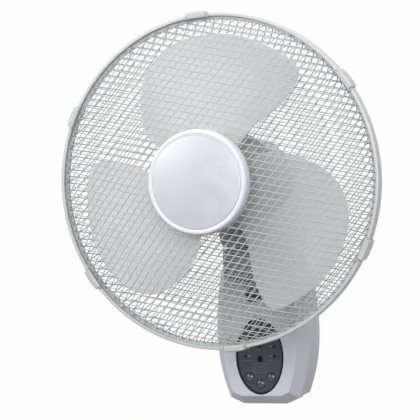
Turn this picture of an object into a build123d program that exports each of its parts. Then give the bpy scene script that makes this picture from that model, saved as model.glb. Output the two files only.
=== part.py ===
"""Wall mounted fan: a bladed head on a tilting and swinging neck, carried by a shield-shaped wall base.

Frame: millimetres, origin at the middle of the wall plate's back face, X to the right, Y into the wall,
Z up. The front of the fan looks along -Y.
"""

from build123d import *
from math import asin, atan2, cos, degrees, hypot, pi, radians, sin, sqrt, tan
import os

os.makedirs("parts", exist_ok=True)

# Clearances
CLEAR = 0.3             # between pieces that only lie next to each other
FIT = 0.05              # radial, round screws, pins, shafts and bearings
RUN_GAP = 0.2           # between faces that turn on each other
TOUCH = 0.1             # between flat faces of two bodies that bear on each other
CUT_PAST = 1.0          # a hole or cut runs this far past the face where it comes out

# Wall base
BASE_HALF_WIDTH = 63.7  # at its widest
BASE_WIDEST_Z = -15.0
BASE_BOTTOM_Z = -109.0
BASE_DOME_IN = 6.7
BASE_DOME_R = BASE_HALF_WIDTH - BASE_DOME_IN    # round top
BASE_SIDE_R = 395.0     # slow curve from the widest place up to the dome
BASE_FOOT_HALF = 30.0   # flat of the bottom edge
BASE_CORNER_X = 47.0
BASE_CORNER_Z = -101.5
BASE_WALL = 2.5
BASE_BACK_Y = -0.5      # rear rim of the rear shell, just off the wall
BASE_PARTING_Y = -38.0
BASE_SHOULDER_Y = -53.0
BASE_FRONT_Y = -70.0
BASE_BEVEL = 33.0       # degrees, from the shoulder to the front face
PARTING_GAP = 0.4
LIP_DEPTH = 3.0
LIP_WALL = 1.6
SHELL_BOSS_R = 5.0      # rear shell's screw posts
SHELL_POST_R = 4.5      # front shell's screw posts
SHELL_SCREW_PLACES = [(-43.0, 48.0), (43.0, 48.0), (-40.0, -72.0), (40.0, -72.0)]
SHELL_SCREW_R = 1.75
SHELL_SCREW_HEAD_R = 3.4
SHELL_SCREW_END_Y = -52.0

# Wall plate
PLATE_T = 3.0
WALL_HOLE_R = 2.75
WALL_HOLE_X = 35.0
WALL_HOLE_Z = 75.0
HOOK_X = 28.0
HOOK_Z = 60.0
HOOK_WIDTH = 10.0
HOOK_T = 3.0
HOOK_RISE = 9.0
HOOK_PLAY = 2.0         # the slots are this much longer than the hooks, each way

# Front fascia and what looks through it
FASCIA_Z = -46.0
FASCIA_RX = 33.0
FASCIA_RZ = 50.4
FASCIA_GAP = 1.0
FASCIA_PROUD = 0.4
FASCIA_FLANGE = 2.5
FASCIA_FLANGE_T = 2.0
FASCIA_EDGE_R = 0.8
LENS_GAP = 0.1          # round each lens
LENS_FLANGE = 0.8
LENS_FLANGE_T = 1.0
LED_R = 2.0
LED_PROUD = 0.6
LED_PLACES = [(-20.5, -32.5), (0.0, -32.5), (20.5, -32.5), (-20.5, -45.5), (20.5, -45.5)]
IR_R = 3.9
IR_STEM_R = 3.4
IR_PROUD = 0.9
IR_Z = -49.6
BUTTON_R = 6.0
BUTTON_GAP = 0.4
BUTTON_TRAVEL = 0.6
BUTTON_EDGE = 0.3       # straight side in front of the fascia
BUTTON_DOME = 1.6
BUTTON_FLANGE = 1.5
BUTTON_FLANGE_T = 1.0
BUTTON_STEM_R = 2.5
BUTTON_PLACES = {"button_left": (-15.3, -74.4), "button_right": (15.3, -74.4), "button_centre": (0.0, -83.0)}
BOARD_FRONT_Y = -52.0
BOARD_T = 1.6
BOARD_WIDTH = 52.0
BOARD_HEIGHT = 84.0
BOARD_CORNER = 3.0
BOARD_POSTS = [(-14.0, -16.0), (14.0, -16.0), (-23.0, -60.0), (23.0, -60.0)]
BOARD_POST_R = 2.5
SWITCH_SIDE = 6.0
SWITCH_BODY = 3.5
SWITCH_HEIGHT = 7.5     # to the tip of the plunger
PLUNGER_R = 1.75

# Mains parts at the back of the base
CAPACITOR = (38.0, 26.0, 16.0)      # width, height, depth
CAPACITOR_PLACE = (-26.0, 4.0)
CAPACITOR_CORNER = 2.0
TERMINAL = (34.0, 18.0, 14.0)
TERMINAL_PLACE = (0.0, -82.0)
TERMINAL_PITCH = 11.0
TERMINAL_WELL_R = 2.6
TERMINAL_WELL = 6.0
GLAND_Y = -21.0
GLAND_R = 7.0
GLAND_FLANGE_R = 9.5
GLAND_FLANGE_T = 1.5
GLAND_CHAMFER = 1.0
GLAND_BARB = 4.0
CORD_R = 3.4

# Tilt hinge
TILT_Y = -52.0
TILT_Z = 70.0
BARREL_R = 14.0
BARREL_HALF = 14.0
CHEEK_T = 3.0
CHEEK_R = 12.0
BRACKET_HALF = 21.0
BRACKET_LOW_Z = 36.0
BRACKET_HIGH_Z = 100.0
BRACKET_CORNER = 4.0
BRACKET_SCREW_PLACES = [(-7.0, 48.0), (7.0, 48.0), (-7.0, 90.0), (7.0, 90.0)]
BRACKET_SCREW_R = 2.4
BRACKET_HEAD_R = 4.6
BRACKET_HEAD_T = 2.8
TILT_BOLT_R = 4.0
TILT_HEX = 13.0
TILT_HEAD = 5.2
TILT_NUT = 6.5
TILT_THREAD_OUT = 2.0   # bolt past its nut
ARM_SLOT_HALF = 17.0
ARM_SLOT_LOW_Z = 29.0
ARM_SLOT_HIGH_Z = 101.0
ARM_SLOT_CORNER = 7.0

# Neck and pan joint
PAN_Y = -118.0
NECK_R = 29.5
NECK_TOP_Z = 102.0
NECK_PART_Z = 76.0
NECK_CAVITY_R = 24.5
NECK_TOP_T = 3.7
BOSS_R = 13.0
BOSS_TOP_Z = 110.0
ARM_HALF = 14.0
ARM_CORNER = 6.0
ARM_FLARE = 14.0        # round between the arm's side and the cup, seen from above
CUP_CHAMFER = 1.5
COVER_REAR_Y = -88.0
COVER_SCREW_PLACES = [(-10.0, -92.6), (10.0, -92.6)]
COVER_SCREW_Z = 72.0
COVER_WELL_R = 15.0
COVER_WELL = 5.0
POST_R = 9.0
POST_FLANGE_R = 24.0
POST_FLANGE_Z = 112.5
POST_FLANGE_T = 3.5
POST_TOP = 4.0          # post above its flange
WASHER_T = 2.0
WASHER_GAP = 0.3
GEAR_LOW_Z = 92.5
GEAR_T = 5.0
GEAR_MODULE = 1.0
GEAR_TEETH = 22
PINION_TEETH = 12
BACKLASH = 0.2
PRESSURE_ANGLE = 20.0
ADDENDUM = 0.8          # in modules
DEDENDUM = 1.1
SPIGOT = 8.0
SPIGOT_T = 3.0
SWING_MOTOR_R = 23.0
SWING_MOTOR_T = 12.0
SWING_MOTOR_FLOOR = 3.5
PINION_SHAFT_R = 2.5
PINION_SHAFT_LIFT = 4.0     # shaft above the motor's underside
PINION_COLLAR_R = 4.5

# Swing housing on top of the neck
HOUSING_LOW_Z = 104.5
HOUSING_LOW_R = 28.0
HOUSING_R = 33.0
HOUSING_WIDE_Z = 121.0
HOUSING_FLOOR_T = 3.5
HOUSING_ROOF_Z = 130.0
HOUSING_CAVITY_R = 30.0
HOUSING_CAVITY_CHAMFER = (3.0, 6.0)
HOUSING_BORE_GAP = 0.6
PILLAR_R = 3.8
PILLAR_CIRCLE_R = 20.3
PILLAR_HOLE = 7.0
SADDLE_HOLE = 20.0
SADDLE_X = 16.0
SADDLE_Y = 12.0

# One screw size holds the housing, the covers and the swing gear
SCREW_R = 1.95
SCREW_LENGTH = 10.0
SCREW_HEAD_R = 3.6
SCREW_HEAD_T = 2.4

# Motor, on the head axis
MOTOR_R = 57.0
SADDLE_RISE = 5.0       # lowest line of the motor over the housing's cavity
HEAD_Z = HOUSING_ROOF_Z + SADDLE_RISE + MOTOR_R
MOTOR_CHAMFER = 5.0
COVER_PARTING_GAP = 0.2
COVER_LIP = 3.0         # rear cover's lip inside the front cover
COVER_LIP_T = 1.0
VENT_COUNT = 20
VENT_LENGTH = 16.0
VENT_WIDTH = 2.6
VENT_CIRCLE_R = 23.0
MOTOR_WALL = 2.0
MOTOR_FRONT_Y = -154.0
MOTOR_PARTING_Y = -124.8
MOTOR_DOME_Y = -82.0
MOTOR_REAR_Y = -62.0
MOTOR_REAR_R = MOTOR_R - 21.0
CAN_GAP = 9.7           # air between the can and the covers
CAN_R = MOTOR_R - CAN_GAP
CAN_WALL = 3.0
CAN_FRONT_Y = -150.0
CAN_REAR_Y = -90.0
CAN_DISC = 2.5
CAN_PARTING_GAP = 0.3
REAR_BORE_GAP = 2.0
NOSE_R = 17.0
NOSE_GAP = 0.3
NOSE_BORE_R = 8.0
NOSE_LENGTH = 17.0
EAR_OUT = 2.7           # middle of an ear outside the can
EAR_CIRCLE_R = CAN_R + EAR_OUT
EAR_R = 4.2
EAR_T = 4.0
EAR_SETBACK = (3.5, 2.0)    # front ears behind the can's face, rear ears in front of it
COVER_PILLAR_X = 28.0
COVER_SEAT = 1.5        # wider than the screw's head
BOLT_R = 1.95
BOLT_HEAD_T = 2.4
BEARING_R = 11.0
BEARING_W = 7.0
POCKET_WALL = 3.0
STATOR_BORE_R = 26.2
STACK_MIDDLE_Y = -120.0
STACK_LENGTH = 28.0
AIR_GAP = 0.4
WINDING_IN_R = 28.0
WINDING_OUT_R = CAN_R - 5.3
WINDING_T = 11.0
WINDING_CHAMFER = 3.0

# Shaft and blades
SHAFT_R = 4.0
SHAFT_TIP_Y = -260.0
SHAFT_TAIL_Y = -87.0
SHAFT_CHAMFER = 1.0
HUB_R = 30.0
HUB_WALL = 2.0
HUB_FACE_T = 2.5
HUB_EDGE = 2.0
HUB_RIBS = 6
HUB_RIB_T = 1.6
HUB_FRONT_Y = -246.0
HUB_REAR_Y = -192.0
HUB_BOSS_R = 9.0
HUB_BOSS_REAR_Y = -204.0
PIN_R = 1.5
PIN_LENGTH = 16.0
PIN_SETBACK = 0.7       # pin in front of the hub boss's rear end
PIN_SLOT_GAP = 0.15
BLADE_COUNT = 3
BLADE_PHASE = 91.1      # degrees, place of the first blade
BLADE_MIDDLE_Y = -230.0
BLADE_T = 2.0
GUARD_R = 215.0         # outside of the rim ring, which sets the sizes of the guard and the blades
TIP_GAP = 27.0
BLADE_REACH = GUARD_R - TIP_GAP
CAMBER = 0.055          # crown of a section over its half chord
# Sections across a blade: radius and half chord as shares of its reach, and the lean in mm
BLADE_SECTIONS = [(0.117, 0.181, 19.3), (0.426, 0.447, 29.8), (0.745, 0.713, 27.2), (1.053, 0.851, 22.9)]
# Petal of the blade that points up, as the radius over the reach and the degrees from the head's +X
PETAL = [(0.144, 60), (0.447, 53), (0.686, 47), (0.928, 49.5), (0.973, 62), (1.0, 82), (0.981, 102),
         (0.88, 118), (0.684, 131), (0.452, 142), (0.144, 122)]
NUT_R = 15.0
NUT_FRONT_Y = -262.5
NUT_SKIRT = 4.5
NUT_SHAFT_GAP = 0.5
NUT_GRIPS = 10
NUT_GRIP_R = 2.6
NUT_GRIP_OUT = 1.6      # middle of a grip outside the nut's edge

# Guard
RIM_FRONT_Y = -223.0
RIM_DEPTH = 16.0
RIM_WALL = 1.5
RIM_LIP = 4.5           # radial width of the solid front lip
RIM_LIP_DEPTH = 5.3
RIM_CHAMFER = (1.2, 0.8)    # front and rear
RIM_IN_R = GUARD_R - RIM_WALL
HOOP_WIDTH = 7.0
HOOP_OUT_R = RIM_IN_R - CLEAR
HOOP_IN_R = HOOP_OUT_R - HOOP_WIDTH
HOOP_T = 2.1
HOOP_FLANGE = 2.3
REAR_HOOP_SETBACK = 0.6
WIRE_R = 0.65
WIRE_SIDES = 6
WIRE_PITCH = 8.75
WIRE_LAYER = 0.85       # each family of wires lies this far from the middle surface
WIRE_SLOPES = (-12.0, 49.0)     # degrees of the two families, seen from the front
WIRE_LAP = 2.1          # wires run this far over the hoops
WIRE_END_R = HOOP_IN_R + WIRE_LAP
LAST_WIRE_IN = 8.0      # the outermost wire stays this far inside the hoop
SHOULDER_R = 50.0
SHOULDER_ANGLE = 70.0   # degrees between the head axis and the surface normal at the rim
FRONT_GUARD_Y = -218.0
FRONT_GUARD_H = 63.0
REAR_GUARD_Y = -212.0
REAR_GUARD_H = 57.0
REAR_PLATE_R = 64.0
REAR_PLATE_T = 2.0
REAR_PLATE_FLAT_R = 52.0
REAR_PLATE_EDGE = 3.0   # width of the plate's rolled edge
PLATE_WIRE_GAP = 0.4
LOCK_NUT_R = 30.0
LOCK_NUT_T = 7.3
LOCK_NUT_EDGE = 2.0
LOCK_NUT_TAPER = 4.0
LOCK_NUT_GRIPS = 8
LOCK_NUT_GRIP_R = 5.0
FRONT_PLATE_R = 62.0
FRONT_PLATE_T = 1.5
CAP_R = 66.5
CAP_WALL = 2.2
CAP_SHOULDER = 8.0
CAP_DISC_R = 58.3
CAP_DISC_T = 1.2
CAP_EDGE_Y = -292.2
CAP_EDGE_WIDTH = 5.5    # from the outside to the front edge
CAP_EDGE_PROUD = 0.2
CAP_WEB_T = 2.0
CAP_CROWN = 2.3
CAP_BOSS_R = 5.0
CAP_SCREW_HEAD_R = 5.5
CAP_SCREW_HEAD_T = 2.0
CAP_SCREW_LENGTH = 9.0
CAP_SCREW_BITE = 5.5

# Guard clips
CLIP_ANGLES = (35.0, 95.0, 155.0, 215.0, 275.0, 335.0)
CLIP_LENGTH = 28.0
CLIP_GAP = 0.4          # between a clip and the rim
CLIP_T = 2.5            # in the middle
CLIP_END_T = 0.8
CLIP_PIVOT_R = GUARD_R - 5.0
CLIP_PIVOT_OUT = 1.8    # pivot in front of the rim
CLIP_BARREL_R = 1.5
CLIP_HOOK_R = GUARD_R - 4.0
CLIP_HOOK_T = 2.2
CLIP_HOOK_SLOPE = 0.45  # the hook's tip is this much further back, so that it swings past the rim
CLIP_PIN_R = 0.8
CLIP_ROUND = 1.8        # outer front edge
CLIP_CHAMFER = 1.0      # outer rear edge
EAR_WIDTH = 1.6
EAR_ROOT = 1.0          # an ear goes this deep into the rim's lip


# Planes, axes and profiles that many pieces share
def facing(y, x=0.0, z=0.0):
    """Plane that faces the viewer at depth y: local x is X, local y is Z, extrusions come forward."""
    return Plane(origin=(x, y, z), x_dir=(1, 0, 0), z_dir=(0, -1, 0))


def y_axis(x=0.0, z=HEAD_Z):
    return Axis((x, 0, z), (0, 1, 0))


def turned(points, x=0.0, z=HEAD_Z):
    """Face to turn about the y axis through x and z, from points of depth and radius."""
    with BuildSketch(Plane(origin=(x, 0, z), x_dir=(0, 1, 0), z_dir=(1, 0, 0))) as face:
        with BuildLine():
            Polyline(points, close=True)
        make_face()
    return face.sketch


def upright(points, y=PAN_Y):
    """Face to turn about the vertical axis at depth y, from points of radius and height."""
    with BuildSketch(Plane(origin=(0, y, 0), x_dir=(1, 0, 0), z_dir=(0, -1, 0))) as face:
        with BuildLine():
            Polyline(points, close=True)
        make_face()
    return face.sketch


PAN_AXIS = Axis((0, PAN_Y, 0), (0, 0, 1))
TILT_PLANE = Plane(origin=(0, TILT_Y, TILT_Z), x_dir=(0, 1, 0), z_dir=(1, 0, 0))
HEAD_SECTION = Plane(origin=(0, 0, HEAD_Z), x_dir=(0, 1, 0), z_dir=(1, 0, 0))   # depth and radius


def disc(y, radius, x=0.0, z=HEAD_Z):
    """Round face that looks forward at depth y."""
    with BuildSketch(facing(y, x, z)) as face:
        Circle(radius)
    return face.sketch


def spot(z, radius, x, y):
    """Round face that looks up at height z."""
    with BuildSketch(Plane(origin=(x, y, z))) as face:
        Circle(radius)
    return face.sketch


def base_outline(y, inset=0.0):
    """Shield outline of the base at depth y: flat foot, long side curves and a round top."""
    dome_z = BASE_WIDEST_Z + sqrt((BASE_SIDE_R - BASE_DOME_R) ** 2 - (BASE_SIDE_R - BASE_HALF_WIDTH) ** 2)
    lean = atan2(dome_z - BASE_WIDEST_Z, BASE_SIDE_R - BASE_HALF_WIDTH)
    join = (BASE_DOME_R * cos(lean), dome_z + BASE_DOME_R * sin(lean))
    widest = (BASE_HALF_WIDTH, BASE_WIDEST_Z)
    with BuildSketch(facing(y)) as outline:
        with BuildLine():
            Polyline((0, BASE_BOTTOM_Z), (BASE_FOOT_HALF, BASE_BOTTOM_Z), (BASE_CORNER_X, BASE_CORNER_Z))
            TangentArc(widest, (BASE_CORNER_X, BASE_CORNER_Z), tangent=(0, -1))
            TangentArc(widest, join, tangent=(0, 1))
            CenterArc((0, dome_z), BASE_DOME_R, degrees(lean), 90 - degrees(lean))
            mirror(about=Plane.YZ)
        make_face()
        if inset:
            offset(amount=-inset, kind=Kind.INTERSECTION)
    return outline.sketch


def ellipse(y, grow=0.0):
    """Oval of the fascia at depth y, grown by a gap or a flange."""
    with BuildSketch(facing(y, z=FASCIA_Z)) as face:
        Ellipse(FASCIA_RX + grow, FASCIA_RZ + grow)
    return face.sketch


# Wall base
BACK_WALL_Y = -PLATE_T - CLEAR
BACK_INSIDE_Y = BACK_WALL_Y - BASE_WALL
REAR_SHELL_FRONT_Y = BASE_PARTING_Y + PARTING_GAP / 2
FRONT_SHELL_REAR_Y = BASE_PARTING_Y - PARTING_GAP / 2
FRONT_INSIDE_Y = BASE_FRONT_Y + BASE_WALL

with BuildPart() as wall_plate:
    extrude(base_outline(0, BASE_WALL + CLEAR), amount=PLATE_T)
    with BuildSketch(facing(0)):
        with GridLocations(2 * WALL_HOLE_X, 2 * WALL_HOLE_Z, 2, 2):
            Circle(WALL_HOLE_R)
    extrude(amount=PLATE_T, mode=Mode.SUBTRACT)
    hook_back = BACK_INSIDE_Y - CLEAR
    hook_front = hook_back - HOOK_T
    for side in (-1, 1):
        with BuildSketch(Plane.YZ.offset(side * HOOK_X - HOOK_WIDTH / 2)):
            with BuildLine():
                Polyline((-PLATE_T, HOOK_Z), (hook_front, HOOK_Z), (hook_front, HOOK_Z + HOOK_RISE),
                         (hook_back, HOOK_Z + HOOK_RISE), (hook_back, HOOK_Z + HOOK_T),
                         (-PLATE_T, HOOK_Z + HOOK_T), close=True)
            make_face()
        extrude(amount=HOOK_WIDTH)

with BuildPart() as rear_shell:
    extrude(base_outline(BASE_BACK_Y), amount=BASE_BACK_Y - REAR_SHELL_FRONT_Y)
    extrude(base_outline(BACK_INSIDE_Y, BASE_WALL), amount=BACK_INSIDE_Y - REAR_SHELL_FRONT_Y,
            mode=Mode.SUBTRACT)
    extrude(base_outline(BASE_BACK_Y, BASE_WALL), amount=BASE_BACK_Y - BACK_WALL_Y, mode=Mode.SUBTRACT)
    with BuildSketch(facing(BACK_INSIDE_Y)):
        with Locations(*SHELL_SCREW_PLACES):
            Circle(SHELL_BOSS_R)
    extrude(amount=BACK_INSIDE_Y - REAR_SHELL_FRONT_Y)
    for x, z in SHELL_SCREW_PLACES:
        revolve(turned([(BACK_WALL_Y, 0), (BACK_WALL_Y, SHELL_SCREW_HEAD_R + CLEAR),
                        (BACK_INSIDE_Y, SHELL_SCREW_HEAD_R + CLEAR), (BACK_INSIDE_Y, SHELL_SCREW_R + FIT),
                        (REAR_SHELL_FRONT_Y, SHELL_SCREW_R + FIT), (REAR_SHELL_FRONT_Y, 0)], x, z),
                axis=y_axis(x, z), mode=Mode.SUBTRACT)
    with BuildSketch(facing(BACK_WALL_Y)):
        for side in (-1, 1):
            with Locations((side * HOOK_X, HOOK_Z + HOOK_T + CLEAR)):
                Rectangle(HOOK_WIDTH + HOOK_PLAY, HOOK_RISE + HOOK_PLAY, align=(Align.CENTER, Align.MAX))
    extrude(amount=BASE_WALL, mode=Mode.SUBTRACT)
    with BuildSketch(facing(BACK_WALL_Y)):
        with Locations(*BRACKET_SCREW_PLACES):
            Circle(BRACKET_SCREW_R + FIT)
    extrude(amount=BASE_WALL, mode=Mode.SUBTRACT)
    with BuildSketch(Plane.XY.offset(BASE_BOTTOM_Z)):
        with Locations((0, GLAND_Y)):
            Circle(GLAND_R + CLEAR)
    extrude(amount=BASE_WALL, mode=Mode.SUBTRACT)

with BuildPart() as cord_gland:
    gland_low = BASE_BOTTOM_Z - GLAND_FLANGE_T
    gland_barb = BASE_BOTTOM_Z + BASE_WALL + CLEAR
    gland_top = BASE_BOTTOM_Z + BASE_WALL + GLAND_BARB
    revolve(upright([(CORD_R, gland_low), (GLAND_FLANGE_R - GLAND_CHAMFER, gland_low),
                     (GLAND_FLANGE_R, BASE_BOTTOM_Z - GLAND_FLANGE_T / 2), (GLAND_FLANGE_R, BASE_BOTTOM_Z),
                     (GLAND_R, BASE_BOTTOM_Z), (GLAND_R, gland_barb), (GLAND_FLANGE_R, gland_barb),
                     (GLAND_R, gland_top), (CORD_R, gland_top)], y=GLAND_Y),
            axis=Axis((0, GLAND_Y, 0), (0, 0, 1)))

with BuildPart() as front_shell:
    extrude(base_outline(FRONT_SHELL_REAR_Y), amount=FRONT_SHELL_REAR_Y - BASE_SHOULDER_Y)
    extrude(base_outline(BASE_SHOULDER_Y), amount=BASE_SHOULDER_Y - BASE_FRONT_Y, taper=BASE_BEVEL)
    extrude(base_outline(FRONT_SHELL_REAR_Y, BASE_WALL), amount=FRONT_SHELL_REAR_Y - BASE_SHOULDER_Y,
            mode=Mode.SUBTRACT)
    extrude(base_outline(BASE_SHOULDER_Y, BASE_WALL), amount=BASE_SHOULDER_Y - FRONT_INSIDE_Y,
            taper=BASE_BEVEL, mode=Mode.SUBTRACT)
    extrude(base_outline(FRONT_SHELL_REAR_Y + LIP_DEPTH, BASE_WALL + CLEAR), amount=2 * LIP_DEPTH)
    extrude(base_outline(FRONT_SHELL_REAR_Y + LIP_DEPTH, BASE_WALL + CLEAR + LIP_WALL), amount=2 * LIP_DEPTH,
            mode=Mode.SUBTRACT)
    with BuildSketch(facing(FRONT_SHELL_REAR_Y)):
        with Locations(*SHELL_SCREW_PLACES):
            Circle(SHELL_POST_R)
    extrude(until=Until.NEXT)
    with BuildSketch(facing(FRONT_SHELL_REAR_Y)):
        with Locations(*SHELL_SCREW_PLACES):
            Circle(SHELL_SCREW_R + FIT)
    extrude(amount=FRONT_SHELL_REAR_Y - SHELL_SCREW_END_Y + CUT_PAST, mode=Mode.SUBTRACT)
    extrude(ellipse(FRONT_INSIDE_Y, FASCIA_GAP), amount=BASE_WALL, mode=Mode.SUBTRACT)
    with BuildSketch(facing(TILT_Y, z=(ARM_SLOT_LOW_Z + ARM_SLOT_HIGH_Z) / 2)):
        RectangleRounded(2 * ARM_SLOT_HALF, ARM_SLOT_HIGH_Z - ARM_SLOT_LOW_Z, ARM_SLOT_CORNER)
    extrude(amount=TILT_Y - BASE_FRONT_Y, mode=Mode.SUBTRACT)

with BuildPart() as shell_screws:
    for x, z in SHELL_SCREW_PLACES:
        revolve(turned([(BACK_WALL_Y, 0), (BACK_WALL_Y, SHELL_SCREW_HEAD_R),
                        (BACK_INSIDE_Y, SHELL_SCREW_HEAD_R), (BACK_INSIDE_Y, SHELL_SCREW_R),
                        (SHELL_SCREW_END_Y, SHELL_SCREW_R), (SHELL_SCREW_END_Y, 0)], x, z),
                axis=y_axis(x, z))

# Fascia, lenses, buttons and the board behind them
FASCIA_BACK_Y = FRONT_INSIDE_Y + RUN_GAP
FLANGE_BACK_Y = FASCIA_BACK_Y + FASCIA_FLANGE_T
FASCIA_FRONT_Y = BASE_FRONT_Y - FASCIA_PROUD
BEVEL_INSET = (BASE_SHOULDER_Y - FRONT_INSIDE_Y) * tan(radians(BASE_BEVEL))
SWITCH_TIP_Y = BOARD_FRONT_Y - SWITCH_HEIGHT
LENS_FLANGE_Y = FLANGE_BACK_Y + TOUCH
LENS_BACK_Y = LENS_FLANGE_Y + LENS_FLANGE_T

with BuildPart() as fascia:
    extrude(ellipse(FASCIA_BACK_Y), amount=FASCIA_BACK_Y - FASCIA_FRONT_Y)
    fillet(fascia.edges().group_by(Axis.Y)[0], radius=FASCIA_EDGE_R)
    flange = ellipse(FLANGE_BACK_Y, FASCIA_FLANGE + FASCIA_GAP)
    extrude(flange & base_outline(FLANGE_BACK_Y, BASE_WALL + BEVEL_INSET + CLEAR), amount=FASCIA_FLANGE_T)
    with BuildSketch(facing(FLANGE_BACK_Y)):
        with Locations(*BUTTON_PLACES.values()):
            Circle(BUTTON_R + BUTTON_GAP)
        with Locations(*LED_PLACES):
            Circle(LED_R + LENS_GAP)
        with Locations((0, IR_Z)):
            Circle(IR_R + LENS_GAP)
    extrude(amount=FLANGE_BACK_Y - FASCIA_FRONT_Y + CUT_PAST, mode=Mode.SUBTRACT)
    with BuildSketch(facing(BOARD_FRONT_Y)):
        with Locations(*BOARD_POSTS):
            Circle(BOARD_POST_R)
    extrude(amount=BOARD_FRONT_Y - FLANGE_BACK_Y)

with BuildPart() as indicator_lenses:
    for x, z in LED_PLACES:
        revolve(turned([(BOARD_FRONT_Y, 0), (BOARD_FRONT_Y, LED_R), (LENS_BACK_Y, LED_R),
                        (LENS_BACK_Y, LED_R + LENS_FLANGE), (LENS_FLANGE_Y, LED_R + LENS_FLANGE),
                        (LENS_FLANGE_Y, LED_R), (FASCIA_FRONT_Y - LED_PROUD / 6, LED_R),
                        (FASCIA_FRONT_Y - LED_PROUD * 5 / 6, LED_R / 2), (FASCIA_FRONT_Y - LED_PROUD, 0)],
                       x, z), axis=y_axis(x, z))

with BuildPart() as ir_window:
    revolve(turned([(BOARD_FRONT_Y, 0), (BOARD_FRONT_Y, IR_STEM_R), (LENS_BACK_Y, IR_STEM_R),
                    (LENS_BACK_Y, IR_R + LENS_FLANGE), (LENS_FLANGE_Y, IR_R + LENS_FLANGE),
                    (LENS_FLANGE_Y, IR_R), (FASCIA_FRONT_Y - IR_PROUD / 4, IR_R),
                    (FASCIA_FRONT_Y - IR_PROUD * 3 / 4, IR_R * 2 / 3), (FASCIA_FRONT_Y - IR_PROUD, 0)],
                   0, IR_Z), axis=y_axis(0, IR_Z))

with BuildPart() as control_board:
    with BuildSketch(facing(BOARD_FRONT_Y + BOARD_T, z=FASCIA_Z)):
        RectangleRounded(BOARD_WIDTH, BOARD_HEIGHT, BOARD_CORNER)
    extrude(amount=BOARD_T)

with BuildPart() as tact_switches:
    for x, z in BUTTON_PLACES.values():
        with BuildSketch(facing(BOARD_FRONT_Y, x, z)):
            Rectangle(SWITCH_SIDE, SWITCH_SIDE)
        extrude(amount=SWITCH_BODY)
        extrude(disc(BOARD_FRONT_Y, PLUNGER_R, x, z), amount=SWITCH_HEIGHT)


def push_button(x, z):
    """Domed button with a flange behind the fascia and a stem that reaches for its switch."""
    front = LENS_FLANGE_Y
    back = front + BUTTON_FLANGE_T
    foot = SWITCH_TIP_Y - BUTTON_TRAVEL - TOUCH
    with BuildSketch(Plane(origin=(x, 0, z), x_dir=(0, 1, 0), z_dir=(1, 0, 0))) as half:
        with BuildLine():
            edge = (FASCIA_FRONT_Y - BUTTON_EDGE, BUTTON_R)
            tip = (FASCIA_FRONT_Y - BUTTON_EDGE - BUTTON_DOME, 0)
            TangentArc(tip, edge, tangent=(0, 1))
            Polyline(edge, (front, BUTTON_R), (front, BUTTON_R + BUTTON_FLANGE),
                     (back, BUTTON_R + BUTTON_FLANGE), (back, BUTTON_STEM_R), (foot, BUTTON_STEM_R),
                     (foot, 0), tip)
        make_face()
    return half.sketch


with BuildPart() as button_left:
    revolve(push_button(*BUTTON_PLACES["button_left"]), axis=y_axis(*BUTTON_PLACES["button_left"]))
with BuildPart() as button_right:
    revolve(push_button(*BUTTON_PLACES["button_right"]), axis=y_axis(*BUTTON_PLACES["button_right"]))
with BuildPart() as button_centre:
    revolve(push_button(*BUTTON_PLACES["button_centre"]), axis=y_axis(*BUTTON_PLACES["button_centre"]))

with BuildPart() as run_capacitor:
    with BuildSketch(facing(BACK_INSIDE_Y, *CAPACITOR_PLACE)):
        RectangleRounded(CAPACITOR[0], CAPACITOR[1], CAPACITOR_CORNER)
    extrude(amount=CAPACITOR[2])

with BuildPart() as terminal_block:
    with BuildSketch(facing(BACK_INSIDE_Y, *TERMINAL_PLACE)):
        Rectangle(TERMINAL[0], TERMINAL[1])
    extrude(amount=TERMINAL[2])
    with BuildSketch(facing(BACK_INSIDE_Y - TERMINAL[2] + TERMINAL_WELL, *TERMINAL_PLACE)):
        with GridLocations(TERMINAL_PITCH, 1, 3, 1):
            Circle(TERMINAL_WELL_R)
    extrude(amount=TERMINAL_WELL, mode=Mode.SUBTRACT)

# Tilt hinge inside the base
BRACKET_FRONT_Y = BACK_INSIDE_Y - CHEEK_T
CHEEK_IN_X = BARREL_HALF + CLEAR
CHEEK_OUT_X = CHEEK_IN_X + CHEEK_T
BRACKET_MIDDLE_Z = (BRACKET_LOW_Z + BRACKET_HIGH_Z) / 2
BRACKET_HEIGHT = BRACKET_HIGH_Z - BRACKET_LOW_Z

with BuildPart() as tilt_bracket:
    with BuildSketch(facing(BACK_INSIDE_Y, z=BRACKET_MIDDLE_Z)):
        RectangleRounded(2 * BRACKET_HALF, BRACKET_HEIGHT, BRACKET_CORNER)
    extrude(amount=CHEEK_T)
    for x in (-CHEEK_OUT_X, CHEEK_IN_X):
        with BuildSketch(Plane.YZ.offset(x)):
            with Locations((TILT_Y, TILT_Z)):
                Circle(CHEEK_R)
            with Locations((BRACKET_FRONT_Y, BRACKET_MIDDLE_Z)):
                Rectangle(CHEEK_T, BRACKET_HEIGHT - 2 * BRACKET_CORNER)
            make_hull()
        extrude(amount=CHEEK_T)
    with BuildSketch(TILT_PLANE.offset(-CHEEK_OUT_X)):
        Circle(TILT_BOLT_R + FIT)
    extrude(amount=2 * CHEEK_OUT_X, mode=Mode.SUBTRACT)
    with BuildSketch(facing(BACK_INSIDE_Y)):
        with Locations(*BRACKET_SCREW_PLACES):
            Circle(BRACKET_SCREW_R + FIT)
    extrude(amount=CHEEK_T, mode=Mode.SUBTRACT)

with BuildPart() as bracket_screws:
    for x, z in BRACKET_SCREW_PLACES:
        revolve(turned([(BRACKET_FRONT_Y - BRACKET_HEAD_T, 0),
                        (BRACKET_FRONT_Y - BRACKET_HEAD_T, BRACKET_HEAD_R),
                        (BRACKET_FRONT_Y, BRACKET_HEAD_R), (BRACKET_FRONT_Y, BRACKET_SCREW_R),
                        (BACK_WALL_Y, BRACKET_SCREW_R), (BACK_WALL_Y, 0)], x, z), axis=y_axis(x, z))

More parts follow.
